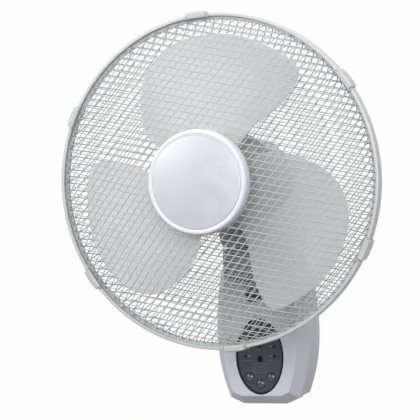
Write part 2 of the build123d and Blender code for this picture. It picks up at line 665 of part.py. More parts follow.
BOLT_HEAD_X = -CHEEK_OUT_X - TOUCH
with BuildPart() as tilt_bolt:
    with BuildSketch(TILT_PLANE.offset(BOLT_HEAD_X)):
        RegularPolygon(TILT_HEX / 2, 6, major_radius=False)
    extrude(amount=-TILT_HEAD)
    with BuildSketch(TILT_PLANE.offset(BOLT_HEAD_X)):
        Circle(TILT_BOLT_R)
    extrude(amount=2 * CHEEK_OUT_X + TILT_NUT + TILT_THREAD_OUT)

with BuildPart() as tilt_nut:
    with BuildSketch(TILT_PLANE.offset(CHEEK_OUT_X + TOUCH)):
        RegularPolygon(TILT_HEX / 2, 6, major_radius=False)
        Circle(TILT_BOLT_R + FIT, mode=Mode.SUBTRACT)
    extrude(amount=TILT_NUT)

# Neck: a cast arm from the hinge to the pan joint, with the swing motor in its cup
CUP_ROOF_Z = NECK_TOP_Z - NECK_TOP_T
# Side of the arm as depth and height: the underside from the cup back to the barrel, then the top
ARM_UNDERSIDE = [(-144.0, NECK_PART_Z), (-130.0, 69.0), (BASE_FRONT_Y, 42.0), (-58.0, 56.0), (TILT_Y, 58.0)]
ARM_TOP = [(TILT_Y, 83.0), (-68.0, 95.0), (-76.0, 98.0), (-98.0, 100.0), (-144.0, 100.0)]
# Side of the cup as radius and height
CUP_SIDE = [(NECK_R - CUP_CHAMFER, NECK_PART_Z), (NECK_R, 82.0), (NECK_R, 92.0), (28.7, 98.0),
            (26.0, NECK_TOP_Z)]


def arm_side():
    """Side outline of the arm: level top, underside that slopes down and back to the base."""
    with BuildSketch(Plane.YZ.offset(-NECK_R)) as face:
        with BuildLine():
            Polyline(ARM_UNDERSIDE + ARM_TOP, close=True)
        make_face()
        fillet(face.vertices().sort_by(Axis.Y)[:3], radius=ARM_CORNER)
    return face.sketch


def arm_plan():
    """Arm seen from above: narrow at the hinge, as wide as the cup round the pan axis."""
    cup_side = (NECK_R - CUP_CHAMFER, PAN_Y + 8)
    with BuildSketch() as face:
        with BuildLine():
            Polyline((ARM_HALF, TILT_Y), (ARM_HALF, COVER_REAR_Y), cup_side, (-cup_side[0], cup_side[1]),
                     (-ARM_HALF, COVER_REAR_Y), (-ARM_HALF, TILT_Y), close=True)
        make_face()
        with Locations((0, PAN_Y)):
            Circle(NECK_R - CUP_CHAMFER / 3)
        fillet(face.vertices().group_by(Axis.Y)[-2], radius=ARM_FLARE)
    return face.sketch


with BuildPart() as neck_body:
    extrude(arm_side(), amount=2 * NECK_R)
    extrude(arm_plan(), amount=BOSS_TOP_Z, mode=Mode.INTERSECT)
    with BuildSketch(TILT_PLANE.offset(-BARREL_HALF)):
        Circle(BARREL_R)
    extrude(amount=2 * BARREL_HALF)
    revolve(upright([(0, NECK_PART_Z)] + CUP_SIDE + [(0, NECK_TOP_Z)]), axis=PAN_AXIS)
    with BuildSketch(TILT_PLANE.offset(-NECK_R)):
        Circle(TILT_BOLT_R + FIT)
    extrude(amount=2 * NECK_R, mode=Mode.SUBTRACT)

with BuildPart(mode=Mode.PRIVATE) as cover_space:
    with BuildSketch(Plane.XY.offset(NECK_PART_Z)):
        with Locations((0, COVER_REAR_Y)):
            Rectangle(4 * NECK_R, 4 * NECK_R, align=(Align.CENTER, Align.MAX))
    extrude(amount=-NECK_PART_Z)

with BuildPart() as neck_arm:
    add(neck_body.part - cover_space.part)
    revolve(upright([(0, NECK_PART_Z), (NECK_CAVITY_R, NECK_PART_Z), (NECK_CAVITY_R, CUP_ROOF_Z),
                     (0, CUP_ROOF_Z)]), axis=PAN_AXIS, mode=Mode.SUBTRACT)
    revolve(upright([(0, CUP_ROOF_Z), (BOSS_R, CUP_ROOF_Z), (BOSS_R, BOSS_TOP_Z), (0, BOSS_TOP_Z)]),
            axis=PAN_AXIS)
    extrude(spot(CUP_ROOF_Z, POST_R + FIT, 0, PAN_Y), amount=BOSS_TOP_Z - CUP_ROOF_Z, mode=Mode.SUBTRACT)
    for x, y in COVER_SCREW_PLACES:
        extrude(spot(COVER_SCREW_Z, SCREW_R + FIT, x, y), amount=SCREW_LENGTH + CUT_PAST, mode=Mode.SUBTRACT)

with BuildPart() as neck_cover:
    add(neck_body.part & cover_space.part)
    extrude(spot(NECK_PART_Z, COVER_WELL_R, 0, PAN_Y), amount=-COVER_WELL, mode=Mode.SUBTRACT)
    for x, y in COVER_SCREW_PLACES:
        extrude(spot(COVER_SCREW_Z, SCREW_R + FIT, x, y), amount=SCREW_LENGTH, mode=Mode.SUBTRACT)
        extrude(spot(COVER_SCREW_Z, SCREW_HEAD_R + CLEAR, x, y), amount=-COVER_SCREW_Z, mode=Mode.SUBTRACT)


def upward_screw(x, y, z):
    """Housing screw driven upwards, the underside of its head at height z."""
    plane = Plane(origin=(x, y, 0), x_dir=(1, 0, 0), z_dir=(0, -1, 0))
    with BuildSketch(plane) as face:
        with BuildLine():
            Polyline((0, z - SCREW_HEAD_T), (SCREW_HEAD_R, z - SCREW_HEAD_T), (SCREW_HEAD_R, z),
                     (SCREW_R, z), (SCREW_R, z + SCREW_LENGTH), (0, z + SCREW_LENGTH), close=True)
        make_face()
    return face.sketch


with BuildPart() as neck_cover_screws:
    for x, y in COVER_SCREW_PLACES:
        revolve(upward_screw(x, y, COVER_SCREW_Z), axis=Axis((x, y, 0), (0, 0, 1)))

# Swing gear and its pinion
PINION_Y = PAN_Y + GEAR_MODULE * (GEAR_TEETH + PINION_TEETH) / 2
SWING_MOTOR_LOW_Z = NECK_PART_Z + RUN_GAP
SWING_MOTOR_TOP_Z = SWING_MOTOR_LOW_Z + SWING_MOTOR_T


def gear_outline(teeth, phase):
    """Spur gear with involute flanks: each flank is a chord chain of the involute of the base circle."""
    pitch_r = GEAR_MODULE * teeth / 2
    base_r = pitch_r * cos(radians(PRESSURE_ANGLE))
    tip_r = pitch_r + ADDENDUM * GEAR_MODULE
    root_r = pitch_r - DEDENDUM * GEAR_MODULE
    roll = sqrt((pitch_r / base_r) ** 2 - 1)
    half = pi / (2 * teeth) - BACKLASH / (4 * pitch_r) + roll - atan2(roll, 1)
    flank = []
    for step in range(5):
        radius = max(base_r, root_r) + (tip_r - max(base_r, root_r)) * step / 4
        unroll = sqrt((radius / base_r) ** 2 - 1)
        flank.append((radius, half - unroll + atan2(unroll, 1)))
    points = []
    for tooth in range(teeth):
        middle = 2 * pi * tooth / teeth + radians(phase)
        profile = [(root_r, -half)] + [(r, -a) for r, a in flank] + [(r, a) for r, a in flank[::-1]]
        profile.append((root_r, half))
        points += [(r * cos(middle + a), r * sin(middle + a)) for r, a in profile]
    return points


with BuildPart() as swing_gear:
    with BuildSketch(Plane(origin=(0, PAN_Y, GEAR_LOW_Z))):
        with BuildLine():
            Polyline(gear_outline(GEAR_TEETH, 90), close=True)
        make_face()
        Circle(SCREW_R + FIT, mode=Mode.SUBTRACT)
    extrude(amount=GEAR_T)
    with BuildSketch(Plane(origin=(0, PAN_Y, GEAR_LOW_Z + GEAR_T))):
        Rectangle(SPIGOT + 2 * FIT, SPIGOT + 2 * FIT)
    extrude(amount=-SPIGOT_T - FIT, mode=Mode.SUBTRACT)

with BuildPart() as swing_pinion:
    with BuildSketch(Plane(origin=(0, PINION_Y, GEAR_LOW_Z))):
        with BuildLine():
            Polyline(gear_outline(PINION_TEETH, 90 + 180 / PINION_TEETH), close=True)
        make_face()
    extrude(amount=GEAR_T)
    with BuildSketch(Plane(origin=(0, PINION_Y, SWING_MOTOR_TOP_Z + RUN_GAP))):
        Circle(PINION_COLLAR_R)
    extrude(amount=GEAR_LOW_Z - SWING_MOTOR_TOP_Z - RUN_GAP)
    with BuildSketch(Plane(origin=(0, PINION_Y, SWING_MOTOR_LOW_Z + PINION_SHAFT_LIFT))):
        Circle(PINION_SHAFT_R)
    extrude(amount=GEAR_LOW_Z - SWING_MOTOR_LOW_Z - PINION_SHAFT_LIFT)

with BuildPart() as swing_motor:
    with BuildSketch(Plane(origin=(0, PAN_Y, SWING_MOTOR_LOW_Z))):
        Circle(SWING_MOTOR_R)
    extrude(amount=SWING_MOTOR_T)
    with BuildSketch(Plane(origin=(0, PINION_Y, SWING_MOTOR_TOP_Z))):
        Circle(PINION_SHAFT_R + FIT)
    extrude(amount=SWING_MOTOR_FLOOR - SWING_MOTOR_T, mode=Mode.SUBTRACT)

POST_LOW_Z = GEAR_LOW_Z + GEAR_T + FIT
FLANGE_TOP_Z = POST_FLANGE_Z + POST_FLANGE_T

with BuildPart() as swivel_post:
    revolve(upright([(0, POST_LOW_Z), (POST_R, POST_LOW_Z), (POST_R, POST_FLANGE_Z),
                     (POST_FLANGE_R, POST_FLANGE_Z), (POST_FLANGE_R, FLANGE_TOP_Z), (POST_R, FLANGE_TOP_Z),
                     (POST_R, FLANGE_TOP_Z + POST_TOP), (0, FLANGE_TOP_Z + POST_TOP)]), axis=PAN_AXIS)
    with BuildSketch(Plane(origin=(0, PAN_Y, POST_LOW_Z))):
        Rectangle(SPIGOT, SPIGOT)
    extrude(amount=-SPIGOT_T)
    extrude(spot(GEAR_LOW_Z, SCREW_R + FIT, 0, PAN_Y), amount=SCREW_LENGTH + CUT_PAST, mode=Mode.SUBTRACT)
    with BuildSketch(Plane(origin=(0, PAN_Y, POST_FLANGE_Z))):
        with PolarLocations(PILLAR_CIRCLE_R, 3):
            Circle(SCREW_R + FIT)
    extrude(amount=POST_FLANGE_T, mode=Mode.SUBTRACT)

with BuildPart() as thrust_washer:
    washer_low = BOSS_TOP_Z + RUN_GAP
    washer_in = POST_R + WASHER_GAP
    revolve(upright([(washer_in, washer_low), (BOSS_R, washer_low), (BOSS_R, washer_low + WASHER_T),
                     (washer_in, washer_low + WASHER_T)]), axis=PAN_AXIS)

# Housing between the neck and the motor
SADDLE_PLACES = [(sx * SADDLE_X, PAN_Y + sy * SADDLE_Y) for sx in (-1, 1) for sy in (-1, 1)]
PILLAR_ANGLES = [radians(a) for a in (0, 120, 240)]
PILLAR_PLACES = [(PILLAR_CIRCLE_R * cos(a), PAN_Y + PILLAR_CIRCLE_R * sin(a)) for a in PILLAR_ANGLES]
FLOOR_TOP_Z = HOUSING_LOW_Z + HOUSING_FLOOR_T

with BuildPart() as gearbox_housing:
    with BuildSketch(Plane(origin=(0, PAN_Y, 0), x_dir=(1, 0, 0), z_dir=(0, -1, 0))):
        with BuildLine():
            low = (HOUSING_LOW_R, HOUSING_LOW_Z)
            wide = (HOUSING_R, HOUSING_WIDE_Z)
            TangentArc(wide, low, tangent=(0, -1))
            Polyline(low, (0, HOUSING_LOW_Z), (0, HEAD_Z - MOTOR_R / 2),
                     (HOUSING_R, HEAD_Z - MOTOR_R / 2), wide)
        make_face()
    revolve(axis=PAN_AXIS)
    extrude(disc(MOTOR_REAR_Y, MOTOR_R + CLEAR), amount=MOTOR_REAR_Y - MOTOR_FRONT_Y, mode=Mode.SUBTRACT)
    across, up = HOUSING_CAVITY_CHAMFER
    revolve(upright([(0, FLOOR_TOP_Z), (HOUSING_CAVITY_R - across, FLOOR_TOP_Z),
                     (HOUSING_CAVITY_R, FLOOR_TOP_Z + up), (HOUSING_CAVITY_R, HOUSING_ROOF_Z),
                     (0, HOUSING_ROOF_Z)]), axis=PAN_AXIS, mode=Mode.SUBTRACT)
    for x, y in PILLAR_PLACES:
        extrude(spot(FLOOR_TOP_Z, PILLAR_R, x, y), amount=POST_FLANGE_Z - FLOOR_TOP_Z)
        extrude(spot(POST_FLANGE_Z, SCREW_R + FIT, x, y), amount=-PILLAR_HOLE, mode=Mode.SUBTRACT)
    extrude(spot(HOUSING_LOW_Z, BOSS_R + HOUSING_BORE_GAP, 0, PAN_Y), amount=HOUSING_FLOOR_T,
            mode=Mode.SUBTRACT)
    for x, y in SADDLE_PLACES:
        extrude(spot(HOUSING_ROOF_Z, SCREW_R + FIT, x, y), amount=SADDLE_HOLE, mode=Mode.SUBTRACT)

# Motor
CAN_IN_R = CAN_R - CAN_WALL
EAR_ANGLES = [radians(a) for a in (45, 135, 225, 315)]
EAR_PLACES = [(EAR_CIRCLE_R * cos(a), HEAD_Z + EAR_CIRCLE_R * sin(a)) for a in EAR_ANGLES]
FRONT_EAR_Y = CAN_FRONT_Y + EAR_SETBACK[0]
REAR_EAR_Y = CAN_REAR_Y - EAR_SETBACK[1]
COVER_PILLARS = [(-COVER_PILLAR_X, HEAD_Z), (COVER_PILLAR_X, HEAD_Z)]
COVER_IN_R = MOTOR_R - MOTOR_WALL
STACK_FRONT_Y = STACK_MIDDLE_Y - STACK_LENGTH / 2
STACK_REAR_Y = STACK_MIDDLE_Y + STACK_LENGTH / 2

with BuildPart() as motor_front_cover:
    bore = NOSE_R + RUN_GAP
    round_r = MOTOR_R - MOTOR_CHAMFER
    inside = MOTOR_FRONT_Y + MOTOR_WALL
    rear = MOTOR_PARTING_Y - COVER_PARTING_GAP
    revolve(turned([(MOTOR_FRONT_Y, bore), (MOTOR_FRONT_Y, round_r),
                    (MOTOR_FRONT_Y + MOTOR_CHAMFER * 0.3, MOTOR_R - MOTOR_CHAMFER * 0.3),
                    (MOTOR_FRONT_Y + MOTOR_CHAMFER, MOTOR_R), (rear, MOTOR_R), (rear, COVER_IN_R),
                    (MOTOR_FRONT_Y + MOTOR_CHAMFER, COVER_IN_R), (inside, round_r), (inside, bore)]),
            axis=y_axis())
    for x, y in SADDLE_PLACES[::2]:
        extrude(spot(HOUSING_ROOF_Z, SCREW_R + FIT, x, y), amount=SADDLE_HOLE, mode=Mode.SUBTRACT)

with BuildPart() as motor_rear_cover:
    front = MOTOR_PARTING_Y + COVER_PARTING_GAP
    inside = MOTOR_REAR_Y - MOTOR_WALL
    with BuildSketch(HEAD_SECTION):
        with BuildLine():
            shoulder = (MOTOR_DOME_Y, MOTOR_R)
            tail = (MOTOR_REAR_Y, MOTOR_REAR_R)
            TangentArc(shoulder, tail, tangent=(1, 0))
            inner_tail = (inside, MOTOR_REAR_R - MOTOR_WALL)
            inner_shoulder = (MOTOR_DOME_Y, COVER_IN_R)
            TangentArc(inner_shoulder, inner_tail, tangent=(1, 0))
            Polyline(tail, (MOTOR_REAR_Y, 0), (inside, 0), inner_tail)
            Polyline(inner_shoulder, (front, COVER_IN_R), (front, MOTOR_R), shoulder)
        make_face()
    revolve(axis=y_axis())
    lip_out = COVER_IN_R - COVER_PARTING_GAP
    lip_in = lip_out - COVER_LIP_T
    root = front + COVER_LIP
    revolve(turned([(front - COVER_LIP, lip_out), (root, lip_out), (root, COVER_IN_R + MOTOR_WALL / 4),
                    (root + MOTOR_WALL / 4, COVER_IN_R + MOTOR_WALL / 4), (root + MOTOR_WALL / 4, lip_in),
                    (front - COVER_LIP, lip_in)]), axis=y_axis())
    with BuildSketch(facing(inside, z=HEAD_Z)):
        with PolarLocations(VENT_CIRCLE_R, VENT_COUNT):
            SlotOverall(VENT_LENGTH, VENT_WIDTH)
    extrude(amount=-MOTOR_WALL, mode=Mode.SUBTRACT)
    for x, z in COVER_PILLARS:
        extrude(disc(MOTOR_REAR_Y, SCREW_HEAD_R + COVER_SEAT, x, z), amount=MOTOR_WALL)
        extrude(disc(MOTOR_REAR_Y, SCREW_R + FIT, x, z), amount=MOTOR_WALL, mode=Mode.SUBTRACT)
    for x, y in SADDLE_PLACES[1::2]:
        extrude(spot(HOUSING_ROOF_Z, SCREW_R + FIT, x, y), amount=SADDLE_HOLE, mode=Mode.SUBTRACT)

with BuildPart() as motor_front_bracket:
    nose_y = CAN_FRONT_Y - NOSE_LENGTH
    floor_y = CAN_FRONT_Y + CAN_DISC
    pocket_y = floor_y + BEARING_W
    joint_y = STACK_MIDDLE_Y - CAN_PARTING_GAP
    revolve(turned([(nose_y, NOSE_BORE_R), (nose_y, NOSE_R), (CAN_FRONT_Y, NOSE_R), (CAN_FRONT_Y, CAN_R),
                    (joint_y, CAN_R), (joint_y, CAN_IN_R), (floor_y, CAN_IN_R),
                    (floor_y, BEARING_R + POCKET_WALL), (pocket_y, BEARING_R + POCKET_WALL),
                    (pocket_y, BEARING_R + FIT), (floor_y, BEARING_R + FIT), (floor_y, NOSE_BORE_R)]),
            axis=y_axis())
    for x, z in EAR_PLACES:
        extrude(disc(FRONT_EAR_Y + EAR_T, EAR_R, x, z), amount=EAR_T)
        extrude(disc(FRONT_EAR_Y + EAR_T, BOLT_R + FIT, x, z), amount=EAR_T, mode=Mode.SUBTRACT)
        extrude(disc(FRONT_EAR_Y, SCREW_HEAD_R + CLEAR, x, z), amount=EAR_T, mode=Mode.SUBTRACT)

with BuildPart() as motor_rear_bracket:
    bore = SHAFT_R + REAR_BORE_GAP
    floor_y = CAN_REAR_Y - CAN_DISC
    pocket_y = floor_y - BEARING_W
    joint_y = STACK_MIDDLE_Y + CAN_PARTING_GAP
    revolve(turned([(CAN_REAR_Y, bore), (CAN_REAR_Y, CAN_R), (joint_y, CAN_R), (joint_y, CAN_IN_R),
                    (floor_y, CAN_IN_R), (floor_y, BEARING_R + POCKET_WALL),
                    (pocket_y, BEARING_R + POCKET_WALL), (pocket_y, BEARING_R + FIT),
                    (floor_y, BEARING_R + FIT), (floor_y, bore)]), axis=y_axis())
    for x, z in EAR_PLACES:
        extrude(disc(REAR_EAR_Y, EAR_R, x, z), amount=EAR_T)
        extrude(disc(REAR_EAR_Y, BOLT_R + FIT, x, z), amount=EAR_T, mode=Mode.SUBTRACT)
    pillar_y = MOTOR_REAR_Y - MOTOR_WALL - TOUCH
    for x, z in COVER_PILLARS:
        extrude(disc(pillar_y, PILLAR_R, x, z), amount=pillar_y - CAN_REAR_Y + TOUCH)
        extrude(disc(pillar_y, SCREW_R + FIT, x, z), amount=SCREW_LENGTH, mode=Mode.SUBTRACT)

with BuildPart() as motor_bolts:
    for x, z in EAR_PLACES:
        head_y = FRONT_EAR_Y - BOLT_HEAD_T
        revolve(turned([(head_y, 0), (head_y, SCREW_HEAD_R), (FRONT_EAR_Y, SCREW_HEAD_R),
                        (FRONT_EAR_Y, BOLT_R), (REAR_EAR_Y, BOLT_R), (REAR_EAR_Y, 0)], x, z),
                axis=y_axis(x, z))

with BuildPart() as stator_core:
    revolve(turned([(STACK_FRONT_Y, STATOR_BORE_R), (STACK_FRONT_Y, CAN_IN_R - FIT),
                    (STACK_REAR_Y, CAN_IN_R - FIT), (STACK_REAR_Y, STATOR_BORE_R)]), axis=y_axis())

with BuildPart() as stator_windings:
    for side in (-1, 1):
        start = STACK_MIDDLE_Y + side * (STACK_LENGTH / 2 + TOUCH)
        end = start + side * WINDING_T
        bend = end - side * WINDING_CHAMFER
        revolve(turned([(start, WINDING_IN_R), (start, WINDING_OUT_R), (bend, WINDING_OUT_R),
                        (end, WINDING_OUT_R - WINDING_CHAMFER), (end, WINDING_IN_R + WINDING_CHAMFER),
                        (bend, WINDING_IN_R)]), axis=y_axis())

with BuildPart() as motor_bearings:
    for y in (CAN_FRONT_Y + CAN_DISC, CAN_REAR_Y - CAN_DISC - BEARING_W):
        revolve(turned([(y, SHAFT_R + FIT), (y, BEARING_R), (y + BEARING_W, BEARING_R),
                        (y + BEARING_W, SHAFT_R + FIT)]), axis=y_axis())

with BuildPart() as housing_screws:
    revolve(upward_screw(0, PAN_Y, GEAR_LOW_Z), axis=PAN_AXIS)
    for x, y in SADDLE_PLACES:
        revolve(upward_screw(x, y, HOUSING_ROOF_Z), axis=Axis((x, y, 0), (0, 0, 1)))
    for x, y in PILLAR_PLACES:
        extrude(spot(FLANGE_TOP_Z, SCREW_HEAD_R, x, y), amount=SCREW_HEAD_T)
        extrude(spot(FLANGE_TOP_Z, SCREW_R, x, y), amount=-SCREW_LENGTH)
    for x, z in COVER_PILLARS:
        extrude(disc(MOTOR_REAR_Y, SCREW_HEAD_R, x, z), amount=-SCREW_HEAD_T)
        extrude(disc(MOTOR_REAR_Y, SCREW_R, x, z), amount=SCREW_LENGTH)

# Rotor: shaft, rotor core, blades and their nut
PIN_Y = HUB_BOSS_REAR_Y - PIN_R - PIN_SETBACK
ROTOR_R = STATOR_BORE_R - AIR_GAP

with BuildPart() as rotor_shaft:
    end_r = SHAFT_R - SHAFT_CHAMFER
    revolve(turned([(SHAFT_TIP_Y, 0), (SHAFT_TIP_Y, end_r), (SHAFT_TIP_Y + SHAFT_CHAMFER, SHAFT_R),
                    (SHAFT_TAIL_Y - SHAFT_CHAMFER, SHAFT_R), (SHAFT_TAIL_Y, end_r), (SHAFT_TAIL_Y, 0)]),
            axis=y_axis())
    with BuildSketch(Plane(origin=(-SHAFT_R, PIN_Y, HEAD_Z), x_dir=(0, 1, 0), z_dir=(1, 0, 0))):
        Circle(PIN_R + FIT)
    extrude(amount=2 * SHAFT_R, mode=Mode.SUBTRACT)

with BuildPart() as drive_pin:
    with BuildSketch(Plane(origin=(-PIN_LENGTH / 2, PIN_Y, HEAD_Z), x_dir=(0, 1, 0), z_dir=(1, 0, 0))):
        Circle(PIN_R)
    extrude(amount=PIN_LENGTH)

with BuildPart() as rotor_core:
    revolve(turned([(STACK_FRONT_Y, SHAFT_R + FIT), (STACK_FRONT_Y, ROTOR_R), (STACK_REAR_Y, ROTOR_R),
                    (STACK_REAR_Y, SHAFT_R + FIT)]), axis=y_axis())


def blade_section(radius, half, lean):
    """Section across the blade at one radius: a thin arc whose ends lean along the head axis."""
    crown = CAMBER * half
    plane = Plane(origin=(0, BLADE_MIDDLE_Y, HEAD_Z + radius), x_dir=(1, 0, 0), z_dir=(0, 0, 1))
    with BuildSketch(plane) as face:
        with BuildLine():
            ThreePointArc((-half, -lean), (0, crown), (half, lean))
            ThreePointArc((-half, -lean - BLADE_T), (0, crown - BLADE_T), (half, lean - BLADE_T))
            Line((-half, -lean), (-half, -lean - BLADE_T))
            Line((half, lean), (half, lean - BLADE_T))
        make_face()
    return face.sketch


with BuildPart(mode=Mode.PRIVATE) as blade_sheet:
    loft([blade_section(r * BLADE_REACH, half * BLADE_REACH, lean) for r, half, lean in BLADE_SECTIONS])
    with BuildSketch(facing(BLADE_MIDDLE_Y + BLADE_REACH / 3, z=HEAD_Z)):
        with BuildLine():
            edge = [(BLADE_REACH * r * cos(radians(a)), BLADE_REACH * r * sin(radians(a))) for r, a in PETAL]
            Spline(edge)
            Line(edge[-1], edge[0])
        make_face()
    extrude(amount=BLADE_REACH * 2 / 3, mode=Mode.INTERSECT)

with BuildPart() as fan_blade:
    for number in range(BLADE_COUNT):
        turn = BLADE_PHASE - 90 + number * 360 / BLADE_COUNT
        add(blade_sheet.part.rotate(y_axis(), -turn))
    web_y = HUB_FRONT_Y + HUB_FACE_T
    revolve(turned([(HUB_FRONT_Y, SHAFT_R + FIT), (HUB_FRONT_Y, HUB_R - HUB_EDGE),
                    (HUB_FRONT_Y + HUB_EDGE, HUB_R), (HUB_REAR_Y, HUB_R), (HUB_REAR_Y, 0),
                    (SHAFT_TIP_Y, 0)]), axis=y_axis())
    revolve(turned([(web_y, HUB_BOSS_R), (web_y, HUB_R - HUB_WALL), (HUB_REAR_Y, HUB_R - HUB_WALL),
                    (HUB_REAR_Y, 0), (HUB_BOSS_REAR_Y, 0), (HUB_BOSS_REAR_Y, HUB_BOSS_R)]),
            axis=y_axis(), mode=Mode.SUBTRACT)
    with BuildSketch(facing(HUB_BOSS_REAR_Y, z=HEAD_Z)):
        with PolarLocations(HUB_BOSS_R - HUB_WALL / 2, HUB_RIBS, start_angle=30):
            Rectangle(HUB_R - HUB_BOSS_R, HUB_RIB_T, align=(Align.MIN, Align.CENTER))
    extrude(amount=HUB_BOSS_REAR_Y - web_y + HUB_FACE_T / 2)
    extrude(disc(HUB_REAR_Y, SHAFT_R + FIT), amount=HUB_REAR_Y - SHAFT_TIP_Y + CUT_PAST, mode=Mode.SUBTRACT)
    with BuildSketch(facing(HUB_BOSS_REAR_Y, z=HEAD_Z)):
        Rectangle(2 * (HUB_BOSS_R + CUT_PAST), 2 * (PIN_R + PIN_SLOT_GAP))
    extrude(amount=2 * PIN_R + PIN_SETBACK + CLEAR, mode=Mode.SUBTRACT)

with BuildPart() as blade_nut:
    nut_rear = HUB_FRONT_Y - RUN_GAP
    with BuildSketch(HEAD_SECTION):
        with BuildLine():
            rim = (nut_rear - NUT_SKIRT, NUT_R)
            crown = (NUT_FRONT_Y, 0)
            TangentArc(crown, rim, tangent=(0, 1))
            bore_end = SHAFT_TIP_Y - NUT_SHAFT_GAP
            Polyline(rim, (nut_rear, NUT_R), (nut_rear, SHAFT_R + FIT), (bore_end, SHAFT_R + FIT),
                     (bore_end, 0), crown)
        make_face()
    revolve(axis=y_axis())
    with BuildSketch(facing(nut_rear, z=HEAD_Z)):
        with PolarLocations(NUT_R + NUT_GRIP_OUT, NUT_GRIPS):
            Circle(NUT_GRIP_R)
    extrude(amount=nut_rear - NUT_FRONT_Y, mode=Mode.SUBTRACT)


# Guard: a shallow sphere with a round shoulder, made of two crossing families of wires
class Dome:
    """Surface of a guard face over the plane of its rim: a sphere in the middle, round at the shoulder."""

    def __init__(self, height, layer):
        tilt = radians(SHOULDER_ANGLE)
        reach = WIRE_END_R - SHOULDER_R * sin(tilt)
        drop = height - SHOULDER_R * (1 - cos(tilt))
        flat = (reach ** 2 + drop ** 2) / (2 * drop)
        self.sphere_r = flat + SHOULDER_R + layer
        self.sphere_h = height - flat - SHOULDER_R
        self.join = asin(reach / flat)
        self.ring_r = flat * sin(self.join)
        self.ring_h = self.sphere_h + flat * cos(self.join)
        self.round_r = SHOULDER_R + layer
        self.join_r = self.sphere_r * sin(self.join)
        self.end_r = self.ring_r + sqrt(self.round_r ** 2 - self.ring_h ** 2)

    def radius_at(self, run):
        """Radius of the place that lies the arc length run away from the middle."""
        turn = run / self.sphere_r
        if turn <= self.join:
            return self.sphere_r * sin(turn)
        turn = self.join + (run - self.sphere_r * self.join) / self.round_r
        return self.ring_r + self.round_r * sin(turn) if turn < radians(SHOULDER_ANGLE) else self.end_r

    def height(self, u, v):
        """Height and slope along u of the surface over the place (u, v)."""
        r = hypot(u, v)
        if r < self.join_r:
            rise = sqrt(self.sphere_r ** 2 - r ** 2)
            return self.sphere_h + rise, -u / rise
        rise = sqrt(self.round_r ** 2 - (r - self.ring_r) ** 2)
        return self.ring_h + rise, -(r - self.ring_r) / rise * u / r


def meeting_point(p, slope_p, q, slope_q):
    """Point where two tangent arcs meet that leave p and arrive at q with the given slopes."""
    t = (Vector(1, slope_p).normalized(), Vector(1, slope_q).normalized())
    way = Vector(*q) - Vector(*p)
    both = t[0] + t[1]
    spread = 2 * (1 - t[0].dot(t[1]))
    along = way.dot(both)
    reach = (sqrt(along ** 2 + spread * way.dot(way)) - along) / spread if spread > 1e-9 else way.length / 4
    middle = (Vector(*p) + Vector(*q) + (t[0] - t[1]) * reach) * 0.5
    return middle.X, middle.Y


def shoulder_places(dome, v):
    """Places along u at which the arcs of a wire's shoulder start and end."""
    start = sqrt(max(dome.join_r ** 2 - v ** 2, 0))
    end = sqrt(dome.end_r ** 2 - v ** 2)
    pieces = 1 if abs(v) < 100 else 2 if abs(v) < 150 else 4
    return [start + (end - start) * (1 - (1 - i / pieces) ** 1.4) for i in range(pieces + 1)]


def wire_tube(dome, plane, v, clear_r):
    """Solids of one wire at distance v from the middle, stopping at the radius clear_r if it crosses it."""
    places = shoulder_places(dome, v)
    cut = sqrt(max(clear_r ** 2 - (max(abs(v) - WIRE_R, 0)) ** 2, 0)) if clear_r else 0
    middle_h = dome.height(0, v)[0]
    tubes = []
    for side in ((1,) if not cut else (-1, 1)):
        with BuildPart(mode=Mode.PRIVATE) as tube:
            with BuildLine() as path:
                if cut:
                    a, b = (cut, places[0])
                    mid = (a + b) / 2
                    ThreePointArc((side * a, dome.height(a, v)[0]), (side * mid, dome.height(mid, v)[0]),
                                  (side * b, dome.height(b, v)[0]))
                elif places[0] > 0:
                    ThreePointArc((-places[0], dome.height(places[0], v)[0]), (0, middle_h),
                                  (places[0], dome.height(places[0], v)[0]))
                for hand in ((side,) if cut else (-1, 1)):
                    for a, b in zip(places, places[1:]):
                        (height_a, slope_a), (height_b, slope_b) = dome.height(a, v), dome.height(b, v)
                        m = meeting_point((a, height_a), slope_a, (b, height_b), slope_b)
                        TangentArc((hand * a, height_a), (hand * m[0], m[1]), tangent=(hand, slope_a))
                        TangentArc((hand * b, height_b), (hand * m[0], m[1]), tangent=(-hand, -slope_b))
            wire = path.wires()[0].moved(plane.location)
            with BuildSketch(Plane(origin=wire @ 0, x_dir=plane.z_dir, z_dir=wire % 0)):
                RegularPolygon(WIRE_R, WIRE_SIDES)
            sweep(path=wire)
        tubes += tube.part.solids()
    return tubes


def guard_wires(height, depth_y, forward, clear_r=0.0):
    """All wires of one guard face: two families, one on each side of the dome's middle surface."""
    wires = []
    for number, slope in enumerate(WIRE_SLOPES):
        dome = Dome(height, WIRE_LAYER * (1 - 2 * number))
        across = Vector(cos(radians(slope)), 0, sin(radians(slope)))
        count = 0
        while dome.radius_at((count + 0.5) * WIRE_PITCH) < dome.end_r - LAST_WIRE_IN:
            offset_v = dome.radius_at((count + 0.5) * WIRE_PITCH)
            for v in (-offset_v, offset_v):
                side = Vector(-sin(radians(slope)), 0, cos(radians(slope))) * v
                plane = Plane(origin=(side.X, depth_y, HEAD_Z + side.Z), x_dir=across,
                              z_dir=across.cross(Vector(0, -forward, 0)))
                wires += wire_tube(dome, plane, v, clear_r)
            count += 1
    return wires


FRONT_DOME = Dome(FRONT_GUARD_H, 0)
FRONT_CENTRE_Y = FRONT_GUARD_Y - FRONT_DOME.sphere_h      # centre of the front dome's sphere
MESH_OUT_R = FRONT_DOME.sphere_r + WIRE_LAYER + WIRE_R


def ahead(radius, shell_r):
    """Depth of a sphere round the front dome's centre, at a radius from the head axis."""
    return FRONT_CENTRE_Y - sqrt(shell_r ** 2 - radius ** 2)


